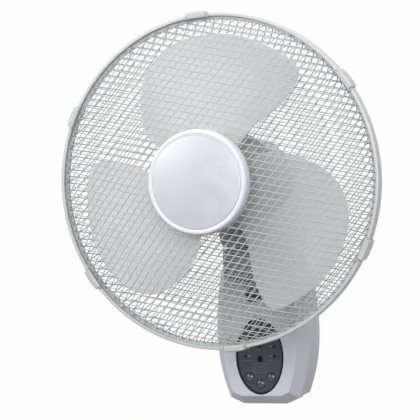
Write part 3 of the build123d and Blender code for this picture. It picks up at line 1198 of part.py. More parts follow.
front_guard_wires = Part(obj=guard_wires(FRONT_GUARD_H, FRONT_GUARD_Y, 1))
rear_guard_wires = Part(obj=guard_wires(REAR_GUARD_H, REAR_GUARD_Y, -1, REAR_PLATE_R + PLATE_WIRE_GAP))

RIM_REAR_Y = RIM_FRONT_Y + RIM_DEPTH
LIP_BACK_Y = RIM_FRONT_Y + RIM_LIP_DEPTH
FRONT_HOOP_Y = LIP_BACK_Y + CLEAR
REAR_HOOP_Y = REAR_GUARD_Y - REAR_HOOP_SETBACK
PIVOT_Y = RIM_FRONT_Y - CLIP_PIVOT_OUT

with BuildPart() as front_guard_hoop:
    rear = FRONT_HOOP_Y + HOOP_T
    revolve(turned([(FRONT_HOOP_Y, HOOP_IN_R), (FRONT_HOOP_Y, HOOP_OUT_R), (rear, HOOP_OUT_R),
                    (rear, HOOP_IN_R)]), axis=y_axis())

with BuildPart() as rear_guard_hoop:
    front = REAR_HOOP_Y - HOOP_T
    flange_in = HOOP_OUT_R - HOOP_FLANGE
    revolve(turned([(REAR_HOOP_Y, HOOP_IN_R), (front, HOOP_IN_R), (front, HOOP_OUT_R),
                    (RIM_REAR_Y - CLEAR, HOOP_OUT_R), (RIM_REAR_Y - CLEAR, flange_in),
                    (REAR_HOOP_Y, flange_in)]), axis=y_axis())


def clip_frame(angle):
    """Plane of the section at one angle of the rim: local x is the radius, local y is the depth."""
    out = Vector(cos(radians(angle)), 0, sin(radians(angle)))
    return Plane(origin=(0, 0, HEAD_Z), x_dir=out, z_dir=out.cross(Vector(0, 1, 0)))


PIN_SPAN = CLIP_LENGTH + 2 * (CLEAR + EAR_WIDTH)

with BuildPart() as rim_ring:
    front, rear = RIM_CHAMFER
    revolve(turned([(RIM_FRONT_Y, GUARD_R - RIM_LIP), (RIM_FRONT_Y, GUARD_R - front),
                    (RIM_FRONT_Y + front, GUARD_R), (RIM_REAR_Y - rear, GUARD_R),
                    (RIM_REAR_Y, GUARD_R - rear), (RIM_REAR_Y, RIM_IN_R), (LIP_BACK_Y, RIM_IN_R),
                    (LIP_BACK_Y, GUARD_R - RIM_LIP)]), axis=y_axis())
    ear_height = CLIP_PIVOT_OUT + EAR_ROOT
    for angle in CLIP_ANGLES:
        for start in (CLIP_LENGTH / 2 + CLEAR, -PIN_SPAN / 2):
            with BuildSketch(clip_frame(angle).offset(start)):
                with Locations((CLIP_PIVOT_R, PIVOT_Y)):
                    Circle(CLIP_BARREL_R)
                    Rectangle(2 * CLIP_BARREL_R, ear_height, align=(Align.CENTER, Align.MIN))
                    Rectangle(RIM_LIP - EAR_ROOT, ear_height, align=(Align.MIN, Align.MIN))
            extrude(amount=EAR_WIDTH)
        with BuildSketch(clip_frame(angle).offset(-PIN_SPAN / 2)):
            with Locations((CLIP_PIVOT_R, PIVOT_Y)):
                Circle(CLIP_PIN_R + FIT)
        extrude(amount=PIN_SPAN, mode=Mode.SUBTRACT)

with BuildPart() as clip_pins:
    for angle in CLIP_ANGLES:
        with BuildSketch(clip_frame(angle).offset(-PIN_SPAN / 2)):
            with Locations((CLIP_PIVOT_R, PIVOT_Y)):
                Circle(CLIP_PIN_R)
        extrude(amount=PIN_SPAN)

CLIP_IN_R = GUARD_R + CLIP_GAP
CLIP_OUT_R = CLIP_IN_R + CLIP_T
CLIP_FRONT_Y = PIVOT_Y - CLIP_BARREL_R
CLIP_REAR_Y = RIM_REAR_Y + CLIP_GAP + CLIP_HOOK_T
CLIP_BOW_R = (CLIP_LENGTH / 2) ** 2 / (2 * (CLIP_T - CLIP_END_T))   # seen from the front


def clip_section(angle):
    """Section of a clip: barrel on the pin, front web, outer wall round the rim and the hook behind it."""
    rim_side = RIM_FRONT_Y - CLEAR
    hook = RIM_REAR_Y + CLIP_GAP
    with BuildSketch(clip_frame(angle).offset(-CLIP_LENGTH / 2)) as face:
        with BuildLine():
            Polyline((CLIP_PIVOT_R, CLIP_FRONT_Y), (CLIP_OUT_R - CLIP_ROUND, CLIP_FRONT_Y),
                     (CLIP_OUT_R - CLIP_ROUND * 0.3, CLIP_FRONT_Y + CLIP_ROUND * 0.3),
                     (CLIP_OUT_R, CLIP_FRONT_Y + CLIP_ROUND), (CLIP_OUT_R, CLIP_REAR_Y - CLIP_CHAMFER),
                     (CLIP_OUT_R - CLIP_CHAMFER, CLIP_REAR_Y), (CLIP_HOOK_R, CLIP_REAR_Y),
                     (CLIP_HOOK_R, hook + CLIP_HOOK_SLOPE), (CLIP_IN_R, hook), (CLIP_IN_R, rim_side),
                     (CLIP_PIVOT_R, rim_side), close=True)
        make_face()
        with Locations((CLIP_PIVOT_R, PIVOT_Y)):
            Circle(CLIP_BARREL_R)
            Circle(CLIP_PIN_R + FIT, mode=Mode.SUBTRACT)
    return face.sketch


def clip_bow(angle):
    """Round face whose edge is the outer curve of a clip, seen from the front."""
    middle = CLIP_OUT_R - CLIP_BOW_R
    return disc(CLIP_REAR_Y, CLIP_BOW_R, middle * cos(radians(angle)), HEAD_Z + middle * sin(radians(angle)))


clips = []
for number, angle in enumerate(CLIP_ANGLES, 1):
    with BuildPart() as guard_clip:
        extrude(clip_section(angle), amount=CLIP_LENGTH)
        extrude(clip_bow(angle), amount=CLIP_REAR_Y - CLIP_FRONT_Y, mode=Mode.INTERSECT)
    guard_clip.part.label = f"guard_clip_{number}"
    clips.append(guard_clip)

# Guard plates, lock nut and centre cap
PLATE_EDGE_Y = REAR_GUARD_Y + Dome(REAR_GUARD_H, 0).height(REAR_PLATE_R, 0)[0]

with BuildPart() as rear_guard_plate:
    plate_front_y = MOTOR_FRONT_Y - REAR_PLATE_T
    bend_r = REAR_PLATE_R - REAR_PLATE_EDGE
    front, rear = PLATE_EDGE_Y - REAR_PLATE_T, PLATE_EDGE_Y + REAR_PLATE_T
    revolve(turned([(plate_front_y, NOSE_R + NOSE_GAP), (MOTOR_FRONT_Y, NOSE_R + NOSE_GAP),
                    (MOTOR_FRONT_Y, REAR_PLATE_FLAT_R), (rear, bend_r), (rear, REAR_PLATE_R),
                    (front, REAR_PLATE_R), (front, REAR_PLATE_R - REAR_PLATE_EDGE / 2),
                    (PLATE_EDGE_Y, bend_r - 0.5), (plate_front_y, REAR_PLATE_FLAT_R - 1)]), axis=y_axis())

with BuildPart() as guard_lock_nut:
    front = plate_front_y - LOCK_NUT_T
    step = plate_front_y - LOCK_NUT_EDGE
    revolve(turned([(plate_front_y, NOSE_R + FIT), (plate_front_y, LOCK_NUT_R), (step, LOCK_NUT_R),
                    (front, LOCK_NUT_R - LOCK_NUT_TAPER), (front, NOSE_R + FIT)]), axis=y_axis())
    with BuildSketch(facing(plate_front_y, z=HEAD_Z)):
        with PolarLocations(LOCK_NUT_R + LOCK_NUT_GRIP_R / 2, LOCK_NUT_GRIPS):
            Circle(LOCK_NUT_GRIP_R)
    extrude(amount=LOCK_NUT_T, mode=Mode.SUBTRACT)

PLATE_IN_R = MESH_OUT_R + CLEAR
PLATE_OUT_R = PLATE_IN_R + FRONT_PLATE_T


def dome_band(inner_r, outer_r, hole, edge):
    """Face between two spheres of the front dome, from a hole's radius out to an edge."""
    with BuildSketch(HEAD_SECTION) as face:
        with BuildLine():
            inner = [(ahead(r, inner_r), r) for r in (hole, (hole + edge) / 2, edge)]
            outer = [(ahead(r, outer_r), r) for r in (hole, (hole + edge) / 2, edge)]
            ThreePointArc(*inner)
            ThreePointArc(*outer)
            Line(inner[0], outer[0])
            Line(inner[-1], outer[-1])
        make_face()
    return face.sketch


with BuildPart() as front_guard_plate:
    revolve(dome_band(PLATE_IN_R, PLATE_OUT_R, SCREW_R + FIT, FRONT_PLATE_R), axis=y_axis())

DISC_BACK_Y = CAP_EDGE_Y + CAP_DISC_T
with BuildPart() as centre_cap:
    skirt_y = ahead(CAP_R, PLATE_IN_R)
    skirt_in = CAP_R - CAP_WALL
    web_y = DISC_BACK_Y + CAP_WEB_T
    front = CAP_EDGE_Y - CAP_EDGE_PROUD
    with BuildSketch(HEAD_SECTION):
        with BuildLine():
            edge = (CAP_EDGE_Y + CAP_SHOULDER, CAP_R)
            lip = (front, CAP_R - CAP_EDGE_WIDTH)
            TangentArc(edge, lip, tangent=(-1, 0))
            Polyline(edge, (skirt_y, CAP_R), (skirt_y, skirt_in), (web_y + CAP_WEB_T, skirt_in),
                     (web_y, CAP_DISC_R), (web_y - CAP_CROWN, 0), (DISC_BACK_Y - CAP_CROWN, 0),
                     (DISC_BACK_Y, CAP_DISC_R + CLEAR), (front, CAP_DISC_R + CLEAR), lip)
        make_face()
    revolve(axis=y_axis())
    boss_y = ahead(0, PLATE_OUT_R) - TOUCH
    extrude(disc(boss_y, CAP_BOSS_R), amount=boss_y - DISC_BACK_Y + CAP_WEB_T / 4)
    extrude(disc(boss_y, SCREW_R + FIT), amount=CAP_SCREW_BITE, mode=Mode.SUBTRACT)

with BuildPart() as cap_disc:
    with BuildSketch(HEAD_SECTION):
        with BuildLine():
            back = DISC_BACK_Y - TOUCH
            TangentArc((back - CAP_CROWN, 0), (back, CAP_DISC_R), tangent=(0, 1))
            front = back - CAP_DISC_T
            TangentArc((front - CAP_CROWN, 0), (front, CAP_DISC_R), tangent=(0, 1))
            Line((back, CAP_DISC_R), (front, CAP_DISC_R))
            Line((back - CAP_CROWN, 0), (front - CAP_CROWN, 0))
        make_face()
    revolve(axis=y_axis())

with BuildPart() as cap_screw:
    head_y = ahead(0, FRONT_DOME.sphere_r - WIRE_LAYER - WIRE_R) + CLEAR
    rear = head_y + CAP_SCREW_HEAD_T
    tip = head_y - CAP_SCREW_LENGTH
    revolve(turned([(rear, 0), (rear, CAP_SCREW_HEAD_R - 1), (head_y, CAP_SCREW_HEAD_R), (head_y, SCREW_R),
                    (tip, SCREW_R), (tip, 0)]), axis=y_axis())

PIECES = {
    "wall_plate": wall_plate, "rear_shell": rear_shell, "front_shell": front_shell, "fascia": fascia,
    "indicator_lenses": indicator_lenses, "ir_window": ir_window, "control_board": control_board,
    "tact_switches": tact_switches, "run_capacitor": run_capacitor, "terminal_block": terminal_block,
    "cord_gland": cord_gland, "shell_screws": shell_screws, "tilt_bracket": tilt_bracket,
    "bracket_screws": bracket_screws, "tilt_bolt": tilt_bolt, "tilt_nut": tilt_nut,
    "button_left": button_left, "button_right": button_right, "button_centre": button_centre,
    "neck_arm": neck_arm, "neck_cover": neck_cover, "neck_cover_screws": neck_cover_screws,
    "swing_motor": swing_motor, "swing_pinion": swing_pinion, "swivel_post": swivel_post,
    "thrust_washer": thrust_washer, "swing_gear": swing_gear, "gearbox_housing": gearbox_housing,
    "housing_screws": housing_screws, "motor_front_cover": motor_front_cover,
    "motor_rear_cover": motor_rear_cover, "motor_front_bracket": motor_front_bracket,
    "motor_rear_bracket": motor_rear_bracket, "motor_bolts": motor_bolts, "stator_core": stator_core,
    "stator_windings": stator_windings, "motor_bearings": motor_bearings, "guard_lock_nut": guard_lock_nut,
    "rear_guard_plate": rear_guard_plate, "rear_guard_hoop": rear_guard_hoop, "rim_ring": rim_ring,
    "front_guard_hoop": front_guard_hoop, "front_guard_plate": front_guard_plate, "centre_cap": centre_cap,
    "cap_disc": cap_disc, "cap_screw": cap_screw, "clip_pins": clip_pins, "rotor_shaft": rotor_shaft,
    "rotor_core": rotor_core, "drive_pin": drive_pin, "fan_blade": fan_blade, "blade_nut": blade_nut,
}
PIECES.update({f"guard_clip_{number}": clip for number, clip in enumerate(clips, 1)})

for name, piece in PIECES.items():
    piece.part.label = name
    export_step(piece.part, f"parts/{name}.step")
for name, wires in {"front_guard_wires": front_guard_wires, "rear_guard_wires": rear_guard_wires}.items():
    wires.label = name
    export_step(wires, f"parts/{name}.step")
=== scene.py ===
"""Wall mounted fan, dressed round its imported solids: metres, X to the right, Y into the wall, Z up."""

import math

import bmesh
import bpy
import numpy as np
from mathutils import Matrix, Vector


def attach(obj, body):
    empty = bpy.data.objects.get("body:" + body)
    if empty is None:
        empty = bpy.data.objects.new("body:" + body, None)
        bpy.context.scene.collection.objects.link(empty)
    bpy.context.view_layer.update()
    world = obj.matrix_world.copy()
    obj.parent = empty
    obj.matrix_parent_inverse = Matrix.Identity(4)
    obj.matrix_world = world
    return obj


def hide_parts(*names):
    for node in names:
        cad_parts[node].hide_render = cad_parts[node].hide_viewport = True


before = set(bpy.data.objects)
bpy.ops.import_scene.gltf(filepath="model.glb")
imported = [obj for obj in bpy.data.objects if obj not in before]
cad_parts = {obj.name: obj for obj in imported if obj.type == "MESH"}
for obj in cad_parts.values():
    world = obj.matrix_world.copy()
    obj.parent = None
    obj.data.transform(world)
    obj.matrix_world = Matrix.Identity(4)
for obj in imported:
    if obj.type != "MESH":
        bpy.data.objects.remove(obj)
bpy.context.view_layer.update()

# -------------------------------- Room
# The fan is seen from a little to its right and just above its middle, with a long lens.
# Soft lamps stand to the left, in front, to the right and overhead; the floor is pale and far below.

AIM = Vector((-0.0083, -0.223, 0.156))
CAMERA_TURN, CAMERA_RISE, CAMERA_ROLL = (math.radians(a) for a in (20.3, 1.0, -1.9))
CAMERA_AWAY, LENS = 2.5, 168.2

level = Vector((math.cos(CAMERA_TURN), math.sin(CAMERA_TURN), 0.0))
ahead = Vector((-level.y * math.cos(CAMERA_RISE), level.x * math.cos(CAMERA_RISE), -math.sin(CAMERA_RISE)))
over = level.cross(ahead)
right = math.cos(CAMERA_ROLL) * level + math.sin(CAMERA_ROLL) * over
upward = -math.sin(CAMERA_ROLL) * level + math.cos(CAMERA_ROLL) * over
camera = bpy.data.objects.new("camera", bpy.data.cameras.new("camera"))
camera.data.lens = LENS
camera.data.clip_start, camera.data.clip_end = 0.05, 60.0
camera.matrix_world = Matrix.Translation(AIM - CAMERA_AWAY * ahead) @ Matrix(
    (right, upward, -ahead)).transposed().to_4x4()
bpy.context.scene.collection.objects.link(camera)
bpy.context.scene.camera = camera
bpy.context.scene.view_settings.view_transform = "Standard"

LAMP_AIM = Vector((0.0, -0.15, 0.16))
LAMPS = {  # name: (place, width, watts)
    "lamp_left": ((-1.7, -2.3, 1.2), 1.6, 34.0),
    "lamp_front": ((0.8, -3.0, 0.8), 1.6, 60.0),
    "lamp_right": ((2.4, -1.2, 0.9), 1.4, 8.0),
    "lamp_over": ((0.2, 0.3, 2.3), 1.6, 22.0),
}
for name, (place, width, watts) in LAMPS.items():
    lamp = bpy.data.objects.new(name, bpy.data.lights.new(name, "AREA"))
    lamp.data.size, lamp.data.energy = width, watts
    lamp.location = place
    lamp.rotation_euler = (LAMP_AIM - lamp.location).to_track_quat("-Z", "Y").to_euler()
    bpy.context.scene.collection.objects.link(lamp)


def fed(tree, node, values):
    """Outputs of a node, or of a new one of a named kind, whose inputs get sockets to link or plain amounts."""
    node = tree.nodes.new(f"ShaderNode{node}") if isinstance(node, str) else node
    for label, value in values.items():
        if isinstance(value, bpy.types.NodeSocket):
            tree.links.new(value, node.inputs[label])
        else:
            node.inputs[label].default_value = value
    return node.outputs


def arithmetic(tree, way, first, second, clamp=False):
    """Result of a sum or a product of two values, held between 0 and 1 where clamp is set."""
    node = tree.nodes.new("ShaderNodeMath")
    node.operation, node.use_clamp = way, clamp
    return fed(tree, node, {0: first, 1: second})[0]


def ramp(tree, value, low, high, start, end):
    """Value spread from the range low..high onto start..end, held at both ends."""
    return fed(tree, "MapRange", {
        "Value": value, "From Min": low, "From Max": high, "To Min": start, "To Max": end})[0]


def own_place(tree):
    """Coordinates of the piece itself, in metres."""
    return fed(tree, "TexCoord", {})["Object"]


def by_ray(tree, seen, other):
    """Shader that is `seen` for rays of the camera, of gloss and through clear plastic, and `other` for the rest."""
    ray = fed(tree, "LightPath", {})
    eye = arithmetic(tree, "ADD", ray["Is Camera Ray"], ray["Is Glossy Ray"], True)
    eye = arithmetic(tree, "ADD", eye, ray["Is Transmission Ray"], True)
    return fed(tree, "MixShader", {0: eye, 1: other, 2: seen})[0]


world = bpy.data.worlds.new("studio")
world.use_nodes = True
bpy.context.scene.world = world
sky = world.node_tree
sky.nodes.clear()
height = fed(sky, "SeparateXYZ", {0: own_place(sky)})["Z"]
light = fed(sky, "Background", {
    "Color": (0.93, 0.96, 1.0, 1.0), "Strength": ramp(sky, height, -0.1, 1.0, 0.12, 1.1)})[0]
white = fed(sky, "Background", {"Color": (0.99, 0.99, 0.99, 1.0), "Strength": 1.0})[0]
fed(sky, "OutputWorld", {"Surface": by_ray(sky, white, light)})

FLOOR_Z, FLOOR_HALF = -0.75, 3.0
floor_mesh = bpy.data.meshes.new("floor")
floor_mesh.from_pydata([(x * FLOOR_HALF, y * FLOOR_HALF, FLOOR_Z) for x, y in ((-1, -1), (1, -1), (1, 1), (-1, 1))],
                       [], [(0, 1, 2, 3)])
floor = bpy.data.objects.new("floor", floor_mesh)
bpy.context.scene.collection.objects.link(floor)
pale = bpy.data.materials.new("pale_floor")
pale.use_nodes = True
tree = pale.node_tree
paint = fed(tree, tree.nodes["Principled BSDF"], {"Roughness": 0.9, "Base Color": (0.86, 0.86, 0.86, 1.0)})[0]
cloud = fed(tree, "TexNoise", {"Scale": 3.0})["Fac"]
glow = fed(tree, "Emission", {"Color": ramp(tree, cloud, 0.0, 1.0, 0.985, 1.0)})[0]
lit = fed(tree, "MixShader", {0: 0.75, 1: paint, 2: glow})[0]
bounce = fed(tree, "BsdfDiffuse", {"Color": (0.12, 0.12, 0.13, 1.0)})[0]
fed(tree, tree.nodes["Material Output"], {"Surface": by_ray(tree, lit, bounce)})
floor_mesh.materials.append(pale)

# -------------------------------- Wall plate
# A pressed steel plate, zinc plated, is screwed to the wall by four screws in its corners.
# Two hooks that are bent up from it carry the plastic base.


def tint(red, green, blue):
    """Linear colour for a paint that is named by its eye-even red, green and blue, from 0 to 255."""
    eye = np.array([red, green, blue]) / 255
    return (*np.where(eye > 0.04045, ((eye + 0.055) / 1.055) ** 2.4, eye / 12.92), 1.0)


def group_tree(name, numbers, outputs):
    """Empty node group with number inputs, given as name and usual value, and named outputs."""
    group = bpy.data.node_groups.new(name, "ShaderNodeTree")
    for label, value in numbers.items():
        socket = group.interface.new_socket(label, in_out="INPUT", socket_type="NodeSocketFloat")
        socket.default_value = value
    for label in outputs:
        group.interface.new_socket(label, in_out="OUTPUT", socket_type="NodeSocketFloat")
    return group, group.nodes.new("NodeGroupInput"), group.nodes.new("NodeGroupOutput")


def noise(tree, scale, detail):
    """Cloudy noise of the piece's own coordinates, at a number of clouds a metre."""
    return fed(tree, "TexNoise", {"Vector": own_place(tree), "Scale": scale, "Detail": detail})["Fac"]


# Moulded or painted skin: fine grain for the bump, slow clouds for tone and handling marks for the roughness
skin, skin_in, skin_out = group_tree("skin", {"Grain": 1500.0, "Clouds": 14.0}, ("Height", "Tone", "Handling"))
rubbed = noise(skin, arithmetic(skin, "MULTIPLY", skin_in.outputs["Clouds"], 3.7), 7.0)
fed(skin, skin_out, {"Height": noise(skin, skin_in.outputs["Grain"], 4.0),
                     "Tone": noise(skin, skin_in.outputs["Clouds"], 5.0),
                     "Handling": ramp(skin, rubbed, 0.35, 0.7, 0.0, 1.0)})

# Worn edges: where the rounded normal leaves the true one, broken up by noise
wear, wear_in, wear_out = group_tree("worn_edges", {"Reach": 0.0008, "Amount": 0.5}, ("Worn",))
softened = wear.nodes.new("ShaderNodeBevel")
softened.samples = 4
along = wear.nodes.new("ShaderNodeVectorMath")
along.operation = "DOT_PRODUCT"
along = fed(wear, along, {0: fed(wear, softened, {"Radius": wear_in.outputs["Reach"]})[0],
                          1: fed(wear, "NewGeometry", {})["Normal"]})["Value"]
edge = ramp(wear, along, 0.999, 0.9, 0.0, 1.0)
rubbed = arithmetic(wear, "MULTIPLY", edge, ramp(wear, noise(wear, 160.0, 6.0), 0.42, 0.62, 0.0, 1.0))
fed(wear, wear_out, {"Worn": arithmetic(wear, "MULTIPLY", rubbed, wear_in.outputs["Amount"])})

# Dust: faces that look up keep a thin, patchy film
dust, dust_in, dust_out = group_tree("settled_dust", {"Amount": 0.1}, ("Dust",))
facing = fed(dust, "SeparateXYZ", {0: fed(dust, "NewGeometry", {})["Normal"]})["Z"]
film = arithmetic(dust, "MULTIPLY", ramp(dust, facing, 0.1, 0.9, 0.0, 1.0),
                  ramp(dust, noise(dust, 60.0, 6.0), 0.3, 0.7, 0.4, 1.0))
fed(dust, dust_out, {"Dust": arithmetic(dust, "MULTIPLY", film, dust_in.outputs["Amount"])})
DUST_TINT = tint(196, 194, 188)


def placed(tree, group, **values):
    """Node group set into a material with its own values."""
    node = tree.nodes.new("ShaderNodeGroup")
    node.node_tree = group
    return fed(tree, node, values)


def mixed(tree, factor, first, second):
    """Colour that goes from first to second by a factor. Inputs 6 and 7 and output 2 of the node are its colours."""
    node = tree.nodes.new("ShaderNodeMix")
    node.data_type = "RGBA"
    return fed(tree, node, {0: factor, 6: first, 7: second})[2]


def finish(name, colour, rough, metal=0.0, grain=1500.0, depth=0.02, clouds=14.0, shade=0.06, rub=0.12, worn=0.0,
           bare=None, dusty=0.0, gloss=0.5, sockets=None, relief=None):
    """Material of one real finish. Its colour goes darker by `shade` in slow clouds, to `bare` on worn edges and to
    dust on top; its roughness rises by `rub` in handling marks; a grain, `depth` millimetres deep, is in its
    normal. relief adds a pattern to the grain, gloss is how much the skin mirrors, and sockets are set on the
    shader itself."""
    material = bpy.data.materials.new(name)
    material.use_nodes = True
    tree = material.node_tree
    surface = placed(tree, skin, Grain=grain, Clouds=clouds)
    dark = tuple(c * (1 - shade) for c in colour[:3]) + (1.0,)
    tone = mixed(tree, surface["Tone"], dark, colour)
    if worn:
        tone = mixed(tree, placed(tree, wear, Amount=worn)["Worn"], tone, bare or colour)
    if dusty:
        tone = mixed(tree, placed(tree, dust, Amount=dusty)["Dust"], tone, DUST_TINT)
    height = surface["Height"]
    if relief:
        height = arithmetic(tree, "ADD", arithmetic(tree, "MULTIPLY", height, 0.3), relief(tree))
    bump = fed(tree, "Bump", {"Strength": 1.0, "Distance": depth / 1000, "Height": height})[0]
    fed(tree, tree.nodes["Principled BSDF"], {
        "Base Color": tone, "Metallic": metal, "Normal": bump, "Specular IOR Level": gloss, **(sockets or {}),
        "Roughness": ramp(tree, surface["Handling"], 0.0, 1.0, rough, min(rough + rub, 1.0))})
    return material


def dress(material, *names, ease=0.0003):
    """Gives CAD nodes their finish, and breaks their sharp edges a little."""
    for name in names:
        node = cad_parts[name]
        node.data.materials.clear()
        node.data.materials.append(material)
        weld = node.modifiers.new("weld", "WELD")
        weld.merge_threshold = 0.00001
        if ease:
            rounding = node.modifiers.new("ease", "BEVEL")
            rounding.width, rounding.segments = ease, 2
            rounding.limit_method, rounding.angle_limit = "ANGLE", math.radians(32)


def spangle(tree):
    """Flat crystals of a zinc coat, as heights between 0 and 1."""
    return fed(tree, "TexVoronoi", {"Vector": own_place(tree), "Scale": 420.0})["Distance"]


zinc = finish("zinc_plate", tint(176, 180, 184), 0.3, 0.95, grain=900, depth=0.012, shade=0.2, rub=0.2,
              worn=0.5, bare=tint(215, 216, 214), relief=spangle)
dress(zinc, "wall_plate")

# -------------------------------- Base shells
# Two moulded shells in silver paint close on each other halfway down the side of the base.
# The front one has a bevel all round, an oval opening for the panel and a slot for the arm.

BASE_HALF, BASE_WIDEST, BASE_FOOT_Z = 0.0637, -0.015, -0.109
SIDE_R, TOP_R = 0.395, 0.057
FOOT_HALF, CORNER = 0.030, (0.047, -0.1015)
SHELL_REAR_Y, SHOULDER_Y, FACE_Y = -0.0382, -0.053, -0.070
BEVEL_IN = 0.01104
SHELL_T = 0.0024
PANEL_HOLE = (0.0, -0.046, 0.034, 0.0514, 2.0)      # x, z, half width, half height, roundness
ARM_SLOT = (0.0, 0.0655, 0.0174, 0.0375, 9.0)       # the same; the higher its roundness, the squarer it is
BRIDGE_Z = 0.0172                                   # height of the bridge between both openings

silver_paint = finish("silver_paint", tint(200, 202, 207), 0.4, 0.04, grain=2600, depth=0.006, clouds=9, shade=0.05,
                      rub=0.1, worn=0.25, bare=tint(120, 122, 124), dusty=0.12, gloss=0.3)


def polar(radius, turn):
    """Points at a radius and an angle, as x and z."""
    return np.stack([radius * np.cos(turn), radius * np.sin(turn)], -1)


def shield_outline(inset=0.0):
    """Loop of the shield moved inwards, counterclockwise from the middle of its foot: a flat foot, a slanted corner,
    a slow arc up to the widest place, a slower one up to the round top, and the same mirrored. The foot and the
    corner are lines moved by the inset, the arcs keep their centres and lose it from their radius."""
    across, down = BASE_HALF - CORNER[0], BASE_WIDEST - CORNER[1]
    low_r = (across ** 2 + down ** 2) / (2 * across)
    low, side = np.array([BASE_HALF - low_r, BASE_WIDEST]), np.array([BASE_HALF - SIDE_R, BASE_WIDEST])
    top = np.array([0.0, BASE_WIDEST + math.sqrt((SIDE_R - TOP_R) ** 2 - (SIDE_R - BASE_HALF) ** 2)])
    lean = math.atan2(top[1] - BASE_WIDEST, SIDE_R - BASE_HALF)
    slant = np.subtract(CORNER, (FOOT_HALF, BASE_FOOT_Z))
    slant /= np.linalg.norm(slant)
    knee = np.array([FOOT_HALF, BASE_FOOT_Z]) + inset * np.array([-slant[1], slant[0]])
    knee += slant * (BASE_FOOT_Z + inset - knee[1]) / slant[1]
    ahead_of = (knee - low) @ slant
    corner = knee + slant * (math.sqrt(ahead_of ** 2 - (knee - low) @ (knee - low) + (low_r - inset) ** 2) - ahead_of)
    foot = np.array([0.0, BASE_FOOT_Z + inset])
    parts = [foot + (knee - foot) * np.linspace(0, 1, 13)[1:-1, None],
             knee + (corner - knee) * np.linspace(0, 1, 8)[:-1, None]]
    start = math.atan2(corner[1] - low[1], corner[0] - low[0])
    for centre, radius, begin, end, count in ((low, low_r, start, 0.0, 26), (side, SIDE_R, 0.0, lean, 30),
                                              (top, TOP_R, lean, math.pi / 2, 40)):
        parts.append(centre + polar(radius - inset, np.linspace(begin, end, count, endpoint=False)))
    half = np.concatenate(parts)
    return np.concatenate([[foot], half, [top + (0, TOP_R - inset)], half[::-1] * (-1, 1)])


def at_depth(loop, y):
    """Loop of x and z set at a depth."""
    return np.stack([loop[:, 0], np.full(len(loop), y), loop[:, 1]], -1)


def grid(rows, loop=False):
    """Points and four-sided faces over rows of points. Each row's end joins its start; loop joins the last row to
    the first."""
    rows = np.asarray(rows, float)
    number = np.arange(rows.shape[0] * rows.shape[1]).reshape(rows.shape[:2])
    number = np.hstack([number, number[:, :1]])
    number = np.vstack([number, number[:1]]) if loop else number
    faces = np.stack([number[:-1, :-1], number[:-1, 1:], number[1:, 1:], number[1:, :-1]], -1)
    return rows.reshape(-1, 3), faces.reshape(-1, 4)


def make(name, parts, material, body, replaced=(), crease=35.0):
    """Piece in its place: surfaces put together, doubles merged, faces turned outwards, smooth between creases."""
    starts = np.cumsum([0] + [len(points) for points, _ in parts])
    points = np.concatenate([points for points, _ in parts])
    faces = np.concatenate([faces + start for (_, faces), start in zip(parts, starts)])
    mesh = bpy.data.meshes.new(name)
    mesh.from_pydata(points.tolist(), [], faces.tolist())
    work = bmesh.new()
    work.from_mesh(mesh)
    bmesh.ops.remove_doubles(work, verts=work.verts, dist=0.000002)
    bmesh.ops.dissolve_degenerate(work, edges=work.edges, dist=0.000001)
    bmesh.ops.recalc_face_normals(work, faces=work.faces)
    work.to_mesh(mesh)
    work.free()
    mesh.shade_smooth()
    mesh.set_sharp_from_angle(angle=math.radians(crease))
    mesh.materials.append(material)
    piece = bpy.data.objects.new(name, mesh)
    bpy.context.scene.collection.objects.link(piece)
    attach(piece, body)
    if replaced:
        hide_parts(*replaced)
    return piece


def opening(loop, hole, y):
    """Flat ring between a loop and an opening. The opening is where |x/a|^n + |z/b|^n is 1, taken in the direction
    of each of the loop's points, and the rows go evenly from it to the loop, with a narrow last one."""
    x, z, a, b, n = hole
    way = loop - (x, z)
    reach = (np.abs(way[:, 0] / a) ** n + np.abs(way[:, 1] / b) ** n) ** (-1 / n)
    inner = (x, z) + way * reach[:, None]
    return grid([at_depth(inner + (loop - inner) * t, y) for t in np.append(np.linspace(0, 0.9, 5), 1)])


shield = shield_outline()
face_loop = shield_outline(BEVEL_IN)
half_way = len(shield) // 2
first = 1 + int(np.argmin(np.abs(face_loop[1:half_way, 1] - BRIDGE_Z)))
last = len(shield) - first
bridge = face_loop[last] + (face_loop[first] - face_loop[last]) * np.linspace(0, 1, 24)[1:-1, None]
upper = np.concatenate([face_loop[first:last + 1], bridge])
lower = np.concatenate([face_loop[last:], face_loop[:first + 1], bridge[::-1]])
side_rows = [at_depth(shield, y) for y in np.linspace(SHELL_REAR_Y, SHOULDER_Y, 5)]
bevel_rows = [at_depth(shield_outline(BEVEL_IN * t), SHOULDER_Y + (FACE_Y - SHOULDER_Y) * t)
              for t in np.linspace(0, 1, 5)[1:]]
front_shell = make("base_front", [grid(side_rows + bevel_rows), opening(upper, ARM_SLOT, FACE_Y),
                                  opening(lower, PANEL_HOLE, FACE_Y)],
                   silver_paint, "base", ["front_shell"])
wall = front_shell.modifiers.new("wall", "SOLIDIFY")
wall.thickness, wall.offset = SHELL_T, -1.0
ease = front_shell.modifiers.new("ease", "BEVEL")
ease.width, ease.segments = 0.0014, 4
ease.limit_method, ease.angle_limit = "ANGLE", math.radians(20)
ease.loop_slide, ease.harden_normals = False, True
dress(silver_paint, "rear_shell", ease=0.0006)
dress(zinc, "shell_screws", "bracket_screws")
